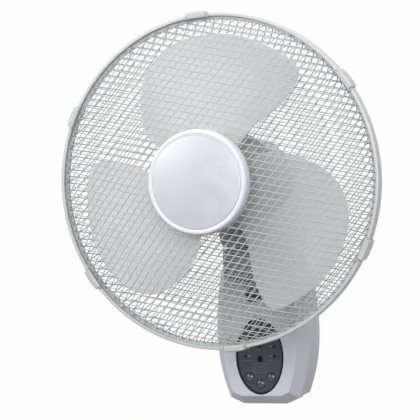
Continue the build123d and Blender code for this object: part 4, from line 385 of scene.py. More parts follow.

# -------------------------------- Control panel
# A dark oval panel is clipped into the front shell from behind. A near-black bead round its edge is painted shade,
# standing for the shadow in the gap round the panel. Raised arcs run round its receiver window and a raised line
# goes out to each side of it, in a lighter grey than the panel as a painted highlight on their tops; five small
# lamps look through the panel, each by a printed dash.

PANEL_FRONT_Y = -0.0704
WINDOW, WINDOW_R, WINDOW_FLANGE_R = (0.0, -0.0496), 0.0039, 0.0047
LAMP_R, LAMP_REAR_Y = 0.002, -0.0521
LAMP_PLACES = ((-0.0205, -0.0325), (0.0, -0.0325), (0.0205, -0.0325), (-0.0205, -0.0455), (0.0205, -0.0455))

panel_plastic = finish("panel_plastic", tint(62, 69, 74), 0.36, grain=3200, depth=0.02, clouds=30, shade=0.25,
                       rub=0.16, worn=0.3, bare=tint(95, 100, 104), gloss=0.25)
# The ridges are a lighter grey than the panel: a painted highlight on their raised tops.
ridge_highlight_plastic = finish("ridge_highlight_plastic", tint(88, 95, 100), 0.3, grain=3200, depth=0.01, clouds=60, shade=0.12, worn=0.3,
                     bare=tint(112, 116, 120), gloss=0.4)
dark_glass = finish("dark_window", tint(4, 6, 9), 0.12, grain=800, depth=0.004, shade=0.5, rub=0.08,
                    gloss=0.1)
# Near-black plastic of the lamp lenses; the same material paints the shade in the gap round the panel.
lens_and_gap_shade_plastic = finish("lens_and_gap_shade_plastic", tint(12, 16, 19), 0.14, grain=900, depth=0.004, shade=0.3, rub=0.1,
                      gloss=0.15)
mark_ink = finish("mark_ink", tint(122, 127, 132), 0.5, grain=5000, depth=0.01, clouds=400, shade=0.3)
dress(panel_plastic, "fascia", ease=0.0002)


def eased(corners, reach, steps=5, closed=True):
    """Profile with rounded corners: at each one a parabola runs from a point before it to one after it, both at
    most `reach` away and never as far as the middle of an edge. The ends of an open profile stay where they are."""
    corners = np.asarray(corners, float)
    before, after = np.roll(corners, 1, 0) - corners, np.roll(corners, -1, 0) - corners
    size = np.broadcast_to(np.asarray(reach, float), len(corners)).copy()
    if not closed:
        size[[0, -1]] = 0
    start, end = (corners + way * (np.minimum(size, 0.48 * np.linalg.norm(way, axis=1))
                                   / np.maximum(np.linalg.norm(way, axis=1), 1e-9))[:, None]
                  for way in (before, after))
    t = np.linspace(0, 1, steps)[None, :, None]
    curve = (1 - t) ** 2 * start[:, None] + 2 * t * (1 - t) * corners[:, None] + t ** 2 * end[:, None]
    return curve.reshape(-1, 2)


HEAD_AXIS = (0.0, 0.192)            # x and z of the line along Y that the head's round pieces are turned about


def spun(profile, steps, centre=HEAD_AXIS, ripple=None, loop=False):
    """Surface of revolution about a line along Y: every profile point of depth and radius at every angle. ripple
    gives a change of depth and of radius for an angle, a depth and a radius."""
    turn = np.linspace(0, 2 * np.pi, steps, endpoint=False)[None, :]
    y, r = (np.asarray(profile)[:, column, None] + 0 * turn for column in (0, 1))
    if ripple:
        sink, swell = ripple(turn, y, r)
        y, r = y + sink, r + swell
    return grid(np.stack([centre[0] + r * np.cos(turn), y, centre[1] + r * np.sin(turn)], -1), loop=loop)


def raised_line(path, width, height, sides=7):
    """Low ridge along a path on the panel: half an ellipse, carried along the path, that dies out at both ends."""
    path = np.asarray(path, float)
    way = np.gradient(path, axis=0)
    across = np.stack([-way[:, 1], way[:, 0]], -1) / np.linalg.norm(way, axis=1)[:, None]
    t = np.linspace(0, np.pi, sides)
    end = np.sqrt(np.clip(1 - np.linspace(-1, 1, len(path)) ** 16, 0, 1))[:, None]
    side = path[:, None] + across[:, None] * (width / 2 * np.cos(t) * end)[..., None]
    rows = np.stack([side[..., 0], PANEL_FRONT_Y - height * np.sin(t) * end, side[..., 1]], -1)
    return grid(np.concatenate([rows, at_depth(path, PANEL_FRONT_Y + 0.0002)[:, None]], 1))


def window_arc(radius, half_turn):
    """Points on an arc round the window, as far to each side of straight down as half_turn degrees."""
    return WINDOW + polar(radius, np.radians(np.linspace(270 - half_turn, 270 + half_turn, 48)))


RIB_Z, RIB_START, RIB_END = -0.0515, 0.008, 0.0235      # the line on each side of the window
ARCS = ((0.0068, 55), (0.0106, 66), (0.0146, 50), (0.0187, 41))
ridges = [raised_line(window_arc(r, span), 0.0009, 0.00035) for r, span in ARCS]
ridges += [raised_line(np.linspace((side * RIB_START, RIB_Z), (side * RIB_END, RIB_Z), 24), 0.0007, 0.0003)
           for side in (-1, 1)]
make("panel_ridges", ridges, ridge_highlight_plastic, "base")

# A near-black bead round the panel's edge: painted shade for the shadow in the gap between the panel and the shell.
SHADE_BEAD_GAP = 0.001                                         # from the edge of the hole to that of the bead
SHADE_BEAD_IN = np.array([0.0002, 0.0004, 0.0010, 0.0017, 0.0019])
SHADE_BEAD_HIGH = np.array([-0.0004, 0.0005, 0.0006, 0.0004, -0.0004])
turn = np.linspace(0, 2 * np.pi, 193)[:-1, None]
gap_shade_rows = np.stack([(PANEL_HOLE[2] - SHADE_BEAD_GAP - SHADE_BEAD_IN) * np.cos(turn), PANEL_FRONT_Y - SHADE_BEAD_HIGH + 0 * turn,
                     PANEL_HOLE[1] + (PANEL_HOLE[3] - SHADE_BEAD_GAP - SHADE_BEAD_IN) * np.sin(turn)], -1)
make("panel_gap_shade", [grid(gap_shade_rows, loop=True)], lens_and_gap_shade_plastic, "base")

DASH_START, DASH_END, DASH_HIGH = 0.0032, 0.0078, 0.00006
dashes = [raised_line(np.linspace((x + side * DASH_START, z), (x + side * DASH_END, z), 10), 0.0011, DASH_HIGH, 5)
          for (x, z), side in zip(LAMP_PLACES, (1, 0, -1, 1, -1)) if side]
dashes.append(raised_line(np.linspace((-0.002, -0.0365), (0.002, -0.0365), 10), 0.0009, DASH_HIGH, 5))
make("panel_marks", dashes, mark_ink, "base")

lens_profile = eased([(LAMP_REAR_Y, 0), (LAMP_REAR_Y, LAMP_R), (PANEL_FRONT_Y - 0.0002, LAMP_R),
                      (PANEL_FRONT_Y - 0.00055, 0.0012), (PANEL_FRONT_Y - 0.0006, 0)], 0.0005, closed=False)
make("indicator_domes", [spun(lens_profile, 32, place) for place in LAMP_PLACES], lens_and_gap_shade_plastic, "base",
     ["indicator_lenses"])
window_profile = eased([(LAMP_REAR_Y, 0), (LAMP_REAR_Y, 0.0034), (-0.0650, 0.0034), (-0.0650, WINDOW_FLANGE_R),
                        (-0.0660, WINDOW_FLANGE_R), (-0.0660, WINDOW_R), (PANEL_FRONT_Y - 0.0003, WINDOW_R),
                        (PANEL_FRONT_Y - 0.0008, 0.0024), (PANEL_FRONT_Y - 0.0009, 0)], 0.0007, closed=False)
make("receiver_window", [spun(window_profile, 64, WINDOW)], dark_glass, "base", ["ir_window"])

# -------------------------------- Push buttons
# Each button is a domed plastic cap, moulded in one with the stem that reaches its switch.
# A flange behind the panel keeps it in its hole.

BUTTONS = {"left": (-0.0153, -0.0744), "right": (0.0153, -0.0744), "centre": (0.0, -0.083)}
BUTTON_R, FLANGE_R, STEM_R = 0.006, 0.0075, 0.0025
STEM_REAR_Y, FLANGE_REAR_Y, FLANGE_FRONT_Y, CROWN_Y = -0.0589, -0.0645, -0.0652, PANEL_FRONT_Y - 0.0019

button_plastic = finish("button_plastic", tint(44, 50, 53), 0.22, grain=4000, depth=0.01, clouds=90, shade=0.15,
                        rub=0.2, worn=0.6, bare=tint(120, 122, 122),
                        sockets={"Coat Weight": 0.5, "Coat Roughness": 0.12})
button_profile = eased([(STEM_REAR_Y, 0), (STEM_REAR_Y, STEM_R), (FLANGE_REAR_Y, STEM_R), (FLANGE_REAR_Y, FLANGE_R),
                        (FLANGE_FRONT_Y, FLANGE_R), (FLANGE_FRONT_Y, BUTTON_R), (PANEL_FRONT_Y - 0.0001, BUTTON_R),
                        (PANEL_FRONT_Y - 0.0010, 0.0047), (PANEL_FRONT_Y - 0.0016, 0.0030), (CROWN_Y, 0.0012),
                        (CROWN_Y, 0)], 0.0009, closed=False)
for side, place in BUTTONS.items():
    make(f"button_{side}_cap", [spun(button_profile, 72, place)], button_plastic, f"{side}_button",
         [f"button_{side}"])

# -------------------------------- Board and mains parts
# A green circuit board with three tact switches sits behind the panel. The motor's run capacitor and the terminal
# block are fixed to the back of the base, and the cord enters through a rubber gland in its foot.


def tracks(tree):
    """Copper tracks under the varnish: thin steps of a square noise."""
    cells = tree.nodes.new("ShaderNodeTexVoronoi")
    cells.distance = "CHEBYCHEV"
    return ramp(tree, fed(tree, cells, {"Vector": own_place(tree), "Scale": 260.0})["Distance"], 0.28, 0.32, 0.0, 1.0)


varnish = finish("board_varnish", tint(34, 92, 58), 0.3, grain=900, depth=0.05, shade=0.3, relief=tracks)
dress(varnish, "control_board")
black_plastic = finish("black_plastic", tint(44, 45, 47), 0.42, grain=2400, depth=0.03, shade=0.15, worn=0.4,
                       bare=tint(80, 80, 80))
dress(black_plastic, "tact_switches", "run_capacitor")
rubber = finish("gland_rubber", tint(38, 38, 39), 0.65, grain=3800, depth=0.05, shade=0.2, rub=0.2)
dress(rubber, "cord_gland")
nylon = finish("gear_nylon", tint(222, 219, 208), 0.45, grain=2200,
               sockets={"Subsurface Weight": 0.15, "Subsurface Scale": 0.002})
dress(nylon, "terminal_block", ease=0.0)

# -------------------------------- Tilt hinge
# A folded steel bracket inside the base holds the end of the arm on a hexagon bolt, and the nut on the bolt sets
# how hard the fan is to tilt.

dress(zinc, "tilt_bracket", "tilt_bolt", "tilt_nut", ease=0.0004)

# -------------------------------- Neck
# The arm is a dark grey moulding: it leaves the base through the slot and widens into a round cup.
# A lid screwed on from below closes the cup over the swing motor, whose pinion turns the gear on the swivel post.

neck_paint = finish("neck_paint", tint(142, 144, 145), 0.42, depth=0.05, clouds=22, shade=0.14, rub=0.16, worn=0.5,
                    bare=tint(150, 151, 150), dusty=0.35)
dress(neck_paint, "neck_arm", "neck_cover", "gearbox_housing", ease=0.0012)
dress(zinc, "neck_cover_screws", "housing_screws")
steel = finish("turned_steel", tint(150, 152, 154), 0.28, 0.95, grain=1800, depth=0.01, shade=0.15, rub=0.2)
dress(steel, "swing_motor", "swivel_post", ease=0.0005)
dress(nylon, "swing_gear", "swing_pinion", "thrust_washer", ease=0.0)

# -------------------------------- Motor
# Two moulded covers in light grey paint meet in a fine seam round the motor. The rear one is domed and has slots
# for the air; inside, two cast brackets hold the stator, its copper windings and the bearings.

HEAD_Z = HEAD_AXIS[1]
MOTOR_R, MOTOR_FRONT_Y, SEAM_Y, DOME_Y, MOTOR_REAR_Y, TAIL_R = 0.057, -0.154, -0.1248, -0.082, -0.062, 0.036
SHEET, BORE_R, SEAM_GAP = 0.002, 0.0173, 0.0003
SLOT_COUNT, SLOT_IN_R, SLOT_OUT_R, SLOT_DEEP, SLOT_SLOPE = 20, 0.0145, 0.0315, 0.0016, 0.0015

motor_paint = finish("motor_paint", tint(158, 161, 162), 0.38, grain=1700, depth=0.04, clouds=18, shade=0.08,
                     rub=0.14, worn=0.4, bare=tint(110, 112, 112), dusty=0.3)
front_profile = eased([(MOTOR_FRONT_Y, BORE_R), (MOTOR_FRONT_Y, MOTOR_R), (SEAM_Y - SEAM_GAP, MOTOR_R),
                       (SEAM_Y - SEAM_GAP, MOTOR_R - SHEET), (MOTOR_FRONT_Y + SHEET, MOTOR_R - SHEET),
                       (MOTOR_FRONT_Y + SHEET, BORE_R)], (0.0003, 0.005, 0.0006, 0.0003, 0.004, 0.0003), 7)
make("motor_shell_front", [spun(front_profile, 144, loop=True)], motor_paint, "head",
     ["motor_front_cover"])

curve = np.linspace(0, 1, 15)
bulge = MOTOR_R - (MOTOR_R - TAIL_R) * (1 - np.sqrt(1 - curve ** 2)) ** 0.9
outer = np.stack([DOME_Y + (MOTOR_REAR_Y - DOME_Y) * np.sin(curve * np.pi / 2), bulge], -1)
tail = np.array([(MOTOR_REAR_Y, r) for r in np.linspace(TAIL_R - 0.002, 0.0, 24)])


def slots(turn, y, r):
    """Sinks the tail of the cover into radial slots: where a cosine of the angle is high, between an inner and an
    outer radius, with sloping sides and ends."""
    across = np.clip((np.cos(SLOT_COUNT * turn) - 0.2) * 4, 0, 1)
    along = np.clip((r - SLOT_IN_R) / SLOT_SLOPE, 0, 1) * np.clip((SLOT_OUT_R - r) / SLOT_SLOPE, 0, 1)
    return -SLOT_DEEP * across * along * (y > MOTOR_REAR_Y - 0.0005), 0 * r


rear_outer = np.concatenate([[(SEAM_Y + SEAM_GAP, MOTOR_R)], outer, tail])
rear_inner = np.maximum(rear_outer[::-1] - (SHEET * 1.2, SHEET), (-1, 0))       # the wall: a deeper, narrower copy
rear_inner = rear_inner[rear_inner[:, 0] > SEAM_Y]
rear_profile = np.concatenate([rear_outer, rear_inner, [(SEAM_Y + SEAM_GAP, MOTOR_R - SHEET)]])
make("motor_shell_rear", [spun(rear_profile, 320, ripple=slots, loop=True)], motor_paint, "head",
     ["motor_rear_cover"])

cast = finish("cast_alloy", tint(168, 170, 170), 0.5, 0.8, grain=700, depth=0.09, shade=0.15, rub=0.2)
dress(cast, "motor_front_bracket", "motor_rear_bracket", ease=0.0005)


def waves(tree, kind, scale, distortion, place=None):
    """Waves over a piece's coordinates: bands along its depth, or rings round a line along its depth."""
    node = tree.nodes.new("ShaderNodeTexWave")
    node.wave_type, node.bands_direction, node.rings_direction = kind, "Y", "Y"
    place = own_place(tree) if place is None else place
    return fed(tree, node, {"Vector": place, "Scale": scale, "Distortion": distortion})["Fac"]


def layers(tree):
    """Edges of the stacked sheets of a core, or the turns of a winding: fine waves along the depth."""
    return waves(tree, "BANDS", 320.0, 0.4)


core_sheets = finish("core_sheets", tint(92, 94, 98), 0.45, 0.8, grain=900, depth=0.08, shade=0.2, relief=layers)
dress(core_sheets, "stator_core", "rotor_core", ease=0.0)
copper = finish("winding_copper", tint(176, 96, 52), 0.35, 0.9, grain=900, depth=0.25, shade=0.25, relief=layers)
dress(copper, "stator_windings", ease=0.0)
dress(steel, "motor_bearings", "motor_bolts", "rotor_shaft", "drive_pin", ease=0.0)

# -------------------------------- Guard
# Each half of the guard is a shallow dome of two layers of steel wire that cross at an angle, welded to a hoop at
# the rim, and coated white. The rear half is clamped between the motor and a plastic nut by its pressed plate.

WIRE_R, WIRE_PITCH, LAYER = 0.00065, 0.00875, 0.00085      # LAYER is from the dome to the middle of either layer
WIRE_SLOPES = (-12.0, 49.0)
WIRE_PLACES, WIRE_SIDES, CROWDED, LAST_WIRE = 61, 8, 1.35, 0.008     # LAST_WIRE is kept free before the hoop
WIRE_END_R, SHOULDER_R, SHOULDER_TURN = 0.2083, 0.050, math.radians(70)
FRONT_Y, FRONT_H, REAR_Y, REAR_H = -0.218, 0.063, -0.212, 0.057
REAR_PLATE_R = 0.064

white_coat = finish("white_coat", tint(184, 186, 186), 0.38, 0.1, grain=1200, clouds=40, shade=0.12, rub=0.2)


class Dome:
    """Guard surface: a sphere in the middle that turns into a smaller round shoulder before the rim."""

    def __init__(self, height, layer):
        """The shoulder's ring touches the sphere from inside: the sphere's radius less the shoulder's is that of a
        circle through the ring's centre and the place that lies a shoulder's radius below the middle of the dome.
        A layer moves both surfaces outwards."""
        reach = WIRE_END_R - SHOULDER_R * math.sin(SHOULDER_TURN)
        drop = height - SHOULDER_R * (1 - math.cos(SHOULDER_TURN))
        flat = (reach ** 2 + drop ** 2) / (2 * drop)
        self.sphere_r, self.sphere_h = flat + SHOULDER_R + layer, height - flat - SHOULDER_R
        self.join = math.asin(reach / flat)
        self.ring_r, self.ring_h = reach, self.sphere_h + flat * math.cos(self.join)
        self.round_r = SHOULDER_R + layer
        self.join_r = self.sphere_r * math.sin(self.join)
        self.end_r = self.ring_r + math.sqrt(self.round_r ** 2 - self.ring_h ** 2)

    def height(self, r):
        """Height over the rim at a radius: on the sphere, or on the shoulder beyond the join."""
        inside = self.sphere_h + np.sqrt(np.maximum(self.sphere_r ** 2 - r ** 2, 0))
        outside = self.ring_h + np.sqrt(np.maximum(self.round_r ** 2 - (r - self.ring_r) ** 2, 0))
        return np.where(r < self.join_r, inside, outside)

    def spacing(self, run):
        """Radius of the places that lie a length along the dome away from its middle."""
        turn = run / self.sphere_r
        far = self.join + (run - self.sphere_r * self.join) / self.round_r
        return np.where(turn <= self.join, self.sphere_r * np.sin(turn),
                        np.where(far < SHOULDER_TURN, self.ring_r + self.round_r * np.sin(np.minimum(far, np.pi / 2)),
                                 self.end_r))


def wires(height, rim_y, forward, clear_r=0.0):
    """Wires of a guard half. A wire at the distance v from the middle follows the dome over the line that runs at
    its family's slope, from -u to u; the places on it crowd towards the rim. A wire that would cross the clear
    middle is made as two. A circle is carried along each and closed to a point at its ends."""
    surfaces = []
    for number, slope in enumerate(WIRE_SLOPES):
        dome = Dome(height, LAYER * (1 - 2 * number))
        v = dome.spacing((np.arange(40) + 0.5) * WIRE_PITCH)
        v = v[v < dome.end_r - LAST_WIRE]
        v = np.concatenate([-v[::-1], v])
        end = np.sqrt(dome.end_r ** 2 - v ** 2)
        cut = np.sqrt(np.maximum(clear_r ** 2 - np.maximum(np.abs(v) - WIRE_R, 0) ** 2, 0))
        whole, split = v[cut == 0], v[cut > 0]
        runs = [(whole, -end[cut == 0], end[cut == 0])]
        if len(split):
            runs += [(split, -end[cut > 0], -cut[cut > 0]), (split, cut[cut > 0], end[cut > 0])]
        for offset, low, high in runs:
            if offset is split:
                t = np.linspace(0, 1, WIRE_PLACES // 2)[None]
                t = t ** CROWDED if low[0] > 0 else 1 - (1 - t) ** CROWDED
                u = low[:, None] + (high - low)[:, None] * t
            else:
                u = high[:, None] * np.sin(np.linspace(-np.pi / 2, np.pi / 2, WIRE_PLACES))[None]
            w = offset[:, None] + 0 * u
            h = dome.height(np.hypot(u, w))
            step = np.stack([np.gradient(u, axis=1), 0 * u, np.gradient(h, axis=1)], -1)
            step /= np.linalg.norm(step, axis=2)[..., None]
            lift = np.stack([-step[..., 2], 0 * u, step[..., 0]], -1)       # across the wire, away from the fan
            turn = np.linspace(0, 2 * np.pi, WIRE_SIDES, endpoint=False)
            thick = np.ones(u.shape[1] + 2)
            thick[[0, -1]] = 0
            local = np.stack([u, w, h], -1)
            local, lift = (np.concatenate([a[:, :1], a, a[:, -1:]], 1) for a in (local, lift))
            ring = (lift[:, :, None] * np.cos(turn)[:, None]
                    + np.array([0.0, 1.0, 0.0]) * np.sin(turn)[:, None]) * (WIRE_R * thick)[:, None, None]
            tube = local[:, :, None] + ring
            c, s = math.cos(math.radians(slope)), math.sin(math.radians(slope))
            place = np.stack([tube[..., 0] * c - tube[..., 1] * s, rim_y - forward * tube[..., 2],
                              HEAD_Z + tube[..., 0] * s + tube[..., 1] * c], -1)
            surfaces += [grid(one) for one in place]
    return surfaces


make("guard_mesh_rear", wires(REAR_H, REAR_Y, -1, REAR_PLATE_R + 0.0004), white_coat, "head",
     ["rear_guard_wires"], crease=80)
RIM_R, RIM_FRONT_Y, RIM_DEPTH, RIM_WALL, RIM_LIP = 0.215, -0.223, 0.016, 0.0015, 0.0045
HOOP_GAP, HOOP_IN_R, HOOP_T, HOOP_WALL = 0.0003, 0.2062, 0.0021, 0.0023
hoop_out, rim_rear_y = RIM_R - RIM_WALL - HOOP_GAP, RIM_FRONT_Y + RIM_DEPTH
hoop_y = REAR_Y - 0.0006
rear_hoop = eased([(hoop_y, HOOP_IN_R), (hoop_y - HOOP_T, HOOP_IN_R), (hoop_y - HOOP_T, hoop_out),
                   (rim_rear_y - HOOP_GAP, hoop_out), (rim_rear_y - HOOP_GAP, hoop_out - HOOP_WALL),
                   (hoop_y, hoop_out - HOOP_WALL)], 0.0008, 4)
make("guard_hoop_rear", [spun(rear_hoop, 288, loop=True)], white_coat, "head", ["rear_guard_hoop"])
plate_front = MOTOR_FRONT_Y - 0.002
plate_edge_y = REAR_Y + float(Dome(REAR_H, 0).height(np.array(REAR_PLATE_R)))
plate_profile = eased([(plate_front, BORE_R), (MOTOR_FRONT_Y, BORE_R), (MOTOR_FRONT_Y, 0.052),
                       (plate_edge_y + 0.002, REAR_PLATE_R - 0.003), (plate_edge_y + 0.002, REAR_PLATE_R),
                       (plate_edge_y - 0.002, REAR_PLATE_R), (plate_edge_y - 0.002, REAR_PLATE_R - 0.0015),
                       (plate_edge_y, REAR_PLATE_R - 0.0035), (plate_front, 0.051)], 0.0008, 4)
make("guard_plate_rear", [spun(plate_profile, 160, loop=True)], white_coat, "head",
     ["rear_guard_plate"])

NUT_BORE_R, NUT_R, NUT_TOP_R = 0.01705, 0.030, 0.026
nut_plastic = finish("nut_plastic", tint(196, 199, 200), 0.32, grain=2600, worn=0.2, bare=tint(225, 226, 226))


def grips(count, deep, wide):
    """Hollows round a nut's edge: the radius falls by a bell curve at each of `count` places, most at the rim."""
    def ripple(turn, _, r):
        off = np.abs((turn * count / (2 * np.pi)) % 1.0 - 0.5) * 2
        return 0 * r, -deep * np.exp(-((1 - off) / wide) ** 2) * np.clip((r / r.max() - 0.7) / 0.3, 0, 1)
    return ripple


nut_profile = eased([(plate_front, NUT_BORE_R), (plate_front, NUT_R), (plate_front - 0.0035, NUT_R),
                     (plate_front - 0.0073, NUT_TOP_R), (plate_front - 0.0073, NUT_BORE_R)], 0.0012, 5)
make("lock_nut", [spun(nut_profile, 192, ripple=grips(8, 0.0025, 0.33), loop=True)], nut_plastic, "head",
     ["guard_lock_nut"])

# -------------------------------- Blades
# Three broad petals and their hub are one moulding in clear grey plastic, thin enough to let light through.
# A pin through the shaft drives the hub, and a left-handed plastic nut with finger grips holds it.

BLADE_COUNT, BLADE_PHASE, BLADE_Y, BLADE_T = 3, 91.1, -0.230, 0.002
HUB_R, HUB_FRONT_Y, HUB_REAR_Y, BOSS_R, BOSS_REAR_Y, SHAFT_BORE_R = 0.030, -0.246, -0.192, 0.009, -0.204, 0.00405
PETAL = ((27, 60), (84, 53), (129, 47), (174.5, 49.5), (183, 62), (188, 82), (184.5, 102), (165.5, 118),
         (128.5, 131), (85, 142), (27, 122))        # radius in millimetres, degrees from the right
SHEET_Z = (0.022, 0.080, 0.140, 0.198)              # heights of four sections across a petal
SHEET_SLOPE = (0.569, 0.355, 0.2027, 0.1434)        # how far each section leans along the axis
SHEET_CROWN = (0.00187, 0.00462, 0.00737, 0.0088)   # how far its middle bulges
SHEET_HALF = (0.034, 0.084, 0.134, 0.160)           # how far from the middle the bulge ends
PETAL_MIDDLE, PETAL_RINGS = np.array([0.0, 0.105]), 34
ROOT_THICKER, ROOT_REACH = 0.9, 0.006               # how much thicker a petal is at the hub, and over what length


def faint_flow(tree):
    """Flow lines of the moulding: wide rings round the fan's axis, broken by much noise."""
    return waves(tree, "RINGS", 22.0, 9.0)


blade_plastic = finish("blade_plastic", tint(214, 216, 217), 0.3, grain=1400, depth=0.03, clouds=10, shade=0.05,
                       rub=0.15, dusty=0.1, relief=faint_flow,
                       sockets={"Alpha": 0.68, "IOR": 1.49, "Coat Weight": 0.2, "Coat Roughness": 0.15})


def through(points, count):
    """Smooth loop through points: between each pair runs a cubic, whose slope at a point is half the way from the
    point before it to the one after it."""
    p = np.asarray(points, float)
    t = np.linspace(0, 1, count, endpoint=False)[None, :, None]
    a, b, c, d = (np.roll(p, shift, 0)[:, None] for shift in (1, 0, -1, -2))
    curve = 0.5 * (2 * b + (c - a) * t + (2 * a - 5 * b + 4 * c - d) * t ** 2 + (3 * b - a - 3 * c + d) * t ** 3)
    return curve.reshape(-1, p.shape[1])


def petal(turn):
    """One petal: rings shrink from its outline to its middle, on the front and again on the rear. The depth is that
    of a leaning, cambered sheet, and both faces draw together in a round edge at the rim."""
    edge = through(polar(*(np.array(PETAL) * (0.001, math.pi / 180)).T), 14)
    grow = np.sin(np.linspace(0, np.pi / 2, PETAL_RINGS))
    scale = np.concatenate([grow, np.sin(np.linspace(np.pi / 2, 0, PETAL_RINGS))[1:]])
    face = np.concatenate([np.full(PETAL_RINGS, -1.0), np.full(PETAL_RINGS - 1, 1.0)])
    flat = PETAL_MIDDLE + scale[:, None, None] * (edge - PETAL_MIDDLE)
    x, z = flat[..., 0], flat[..., 1]
    slope, bulge, half = (np.polyval(np.polyfit(SHEET_Z, values, 3), z)
                          for values in (SHEET_SLOPE, SHEET_CROWN, SHEET_HALF))
    root = 1 + ROOT_THICKER * np.exp(-np.maximum(np.hypot(x, z) - HUB_R, 0) / ROOT_REACH)
    thick = BLADE_T / 2 * root * np.sqrt(np.clip(1 - scale[:, None] ** 60, 0, 1)) * face[:, None]
    y = BLADE_Y + slope * x + bulge * (1 - (x / half) ** 2) - BLADE_T / 2 + thick
    c, s = math.cos(turn), math.sin(turn)
    return grid(np.stack([x * c - z * s, y, HEAD_Z + x * s + z * c], -1))


petals = [petal(math.radians(BLADE_PHASE - 90 + number * 360 / BLADE_COUNT)) for number in range(BLADE_COUNT)]
hub_profile = eased([(HUB_FRONT_Y, SHAFT_BORE_R), (HUB_FRONT_Y, HUB_R), (HUB_REAR_Y, HUB_R),
                     (HUB_REAR_Y, HUB_R - 0.002), (HUB_FRONT_Y + 0.0025, HUB_R - 0.002),
                     (HUB_FRONT_Y + 0.0025, BOSS_R), (BOSS_REAR_Y, BOSS_R), (BOSS_REAR_Y, SHAFT_BORE_R)],
                    (0.0003, 0.003, 0.0006, 0.0006, 0.002, 0.001, 0.0005, 0.0003), 6)
make("fan_blades", petals + [spun(hub_profile, 128, loop=True)], blade_plastic, "rotor", ["fan_blade"])

GRIP_REAR_Y, GRIP_FRONT_Y, GRIP_BOTTOM_Y, GRIP_R = HUB_FRONT_Y - 0.0002, -0.2625, -0.2600, 0.015
grip_profile = eased([(GRIP_REAR_Y, SHAFT_BORE_R), (GRIP_REAR_Y, GRIP_R), (GRIP_REAR_Y - 0.0055, GRIP_R),
                      (GRIP_FRONT_Y + 0.002, 0.0090), (GRIP_FRONT_Y, 0.0035), (GRIP_FRONT_Y, 0.0)], 0.0025, 6,
                     closed=False)
grip_profile = np.concatenate([grip_profile, [(GRIP_BOTTOM_Y, 0.0), (GRIP_BOTTOM_Y, SHAFT_BORE_R)]])
make("blade_nut_cap", [spun(grip_profile, 160, ripple=grips(10, 0.0022, 0.35), loop=True)], nut_plastic, "rotor",
     ["blade_nut"])

# -------------------------------- Front guard and rim
# The front half of the guard is made as the rear one. A silver plastic ring closes over both hoops, and small
# ears on its front edge hold the steel pins of the clips.

make("guard_mesh_front", wires(FRONT_H, FRONT_Y, 1), white_coat, "head", ["front_guard_wires"],
     crease=80)
RIM_SEAT = 0.0053                   # from the rim's front to the back of its lip, where the hoop rests
hoop_y = RIM_FRONT_Y + RIM_SEAT + HOOP_GAP
front_hoop = eased([(hoop_y, HOOP_IN_R), (hoop_y, hoop_out), (hoop_y + HOOP_T, hoop_out),
                    (hoop_y + HOOP_T, HOOP_IN_R)], 0.0008, 4)
make("guard_hoop_front", [spun(front_hoop, 288, loop=True)], white_coat, "head", ["front_guard_hoop"])
dress(white_coat, "front_guard_plate")

rim_paint = finish("rim_paint", tint(188, 190, 190), 0.3, 0.04, grain=2200, depth=0.008, clouds=12, shade=0.05,
                   rub=0.1, worn=0.3, bare=tint(150, 152, 152), dusty=0.15,
                   gloss=0.3, sockets={"Coat Weight": 0.1, "Coat Roughness": 0.18})
rim_profile = eased([(RIM_FRONT_Y, RIM_R - RIM_LIP), (RIM_FRONT_Y, RIM_R), (rim_rear_y, RIM_R),
                     (rim_rear_y, RIM_R - RIM_WALL), (RIM_FRONT_Y + RIM_SEAT, RIM_R - RIM_WALL),
                     (RIM_FRONT_Y + RIM_SEAT, RIM_R - RIM_LIP)], (0.0009, 0.0022, 0.0009, 0.0004, 0.0005, 0.0005), 6)
CLIP_ANGLES = (35.0, 95.0, 155.0, 215.0, 275.0, 335.0)
CLIP_HALF, EAR_GAP, EAR_WIDTH, EAR_OUT, EAR_FOOT = 0.014, 0.0003, 0.0016, 0.0035, 0.001
PIVOT_R, PIVOT_Y, BARREL_R = 0.210, -0.2248, 0.0015


def on_rim(radius, depth, run, angle):
    """Surface at an angle round the rim, from its radius, its depth and how far it runs along the tangent."""
    a = math.radians(angle)
    return grid(np.stack([radius * math.cos(a) - run * math.sin(a), depth,
                          HEAD_Z + radius * math.sin(a) + run * math.cos(a)], -1))


def bar(profile, angle, low, high):
    """Straight bar across the rim at an angle: a profile of radius and depth, carried along the tangent and closed
    by its middle at both ends."""
    middle = profile.mean(0) + 0 * profile
    section = np.stack([middle, profile, profile, middle])
    return on_rim(section[..., 0], section[..., 1], np.array([low, low, high, high])[:, None], angle)


turn = np.linspace(0, np.pi, 13)
ear_nose = np.stack([PIVOT_R + BARREL_R * np.cos(turn), PIVOT_Y - BARREL_R * np.sin(turn)], -1)
ear_foot_y, ear_out_r = RIM_FRONT_Y + EAR_FOOT, PIVOT_R + EAR_OUT
ear_profile = np.concatenate([ear_nose, [(PIVOT_R - BARREL_R, ear_foot_y), (ear_out_r, ear_foot_y),
                                         (ear_out_r, PIVOT_Y + 0.0006), (ear_out_r - 0.0006, PIVOT_Y)]])
ears = [bar(ear_profile, angle, start, start + EAR_WIDTH) for angle in CLIP_ANGLES
        for start in (CLIP_HALF + EAR_GAP, -CLIP_HALF - EAR_GAP - EAR_WIDTH)]
make("rim_band", [spun(rim_profile, 320, loop=True)] + ears, rim_paint, "head", ["rim_ring"])
dress(zinc, "clip_pins", ease=0.0)

# -------------------------------- Clips
# Six springy plastic clips hinge on pins at the front edge of the rim. Each one reaches over the rim and hooks
# behind it, and its ends are drawn in and rounded for the thumb.

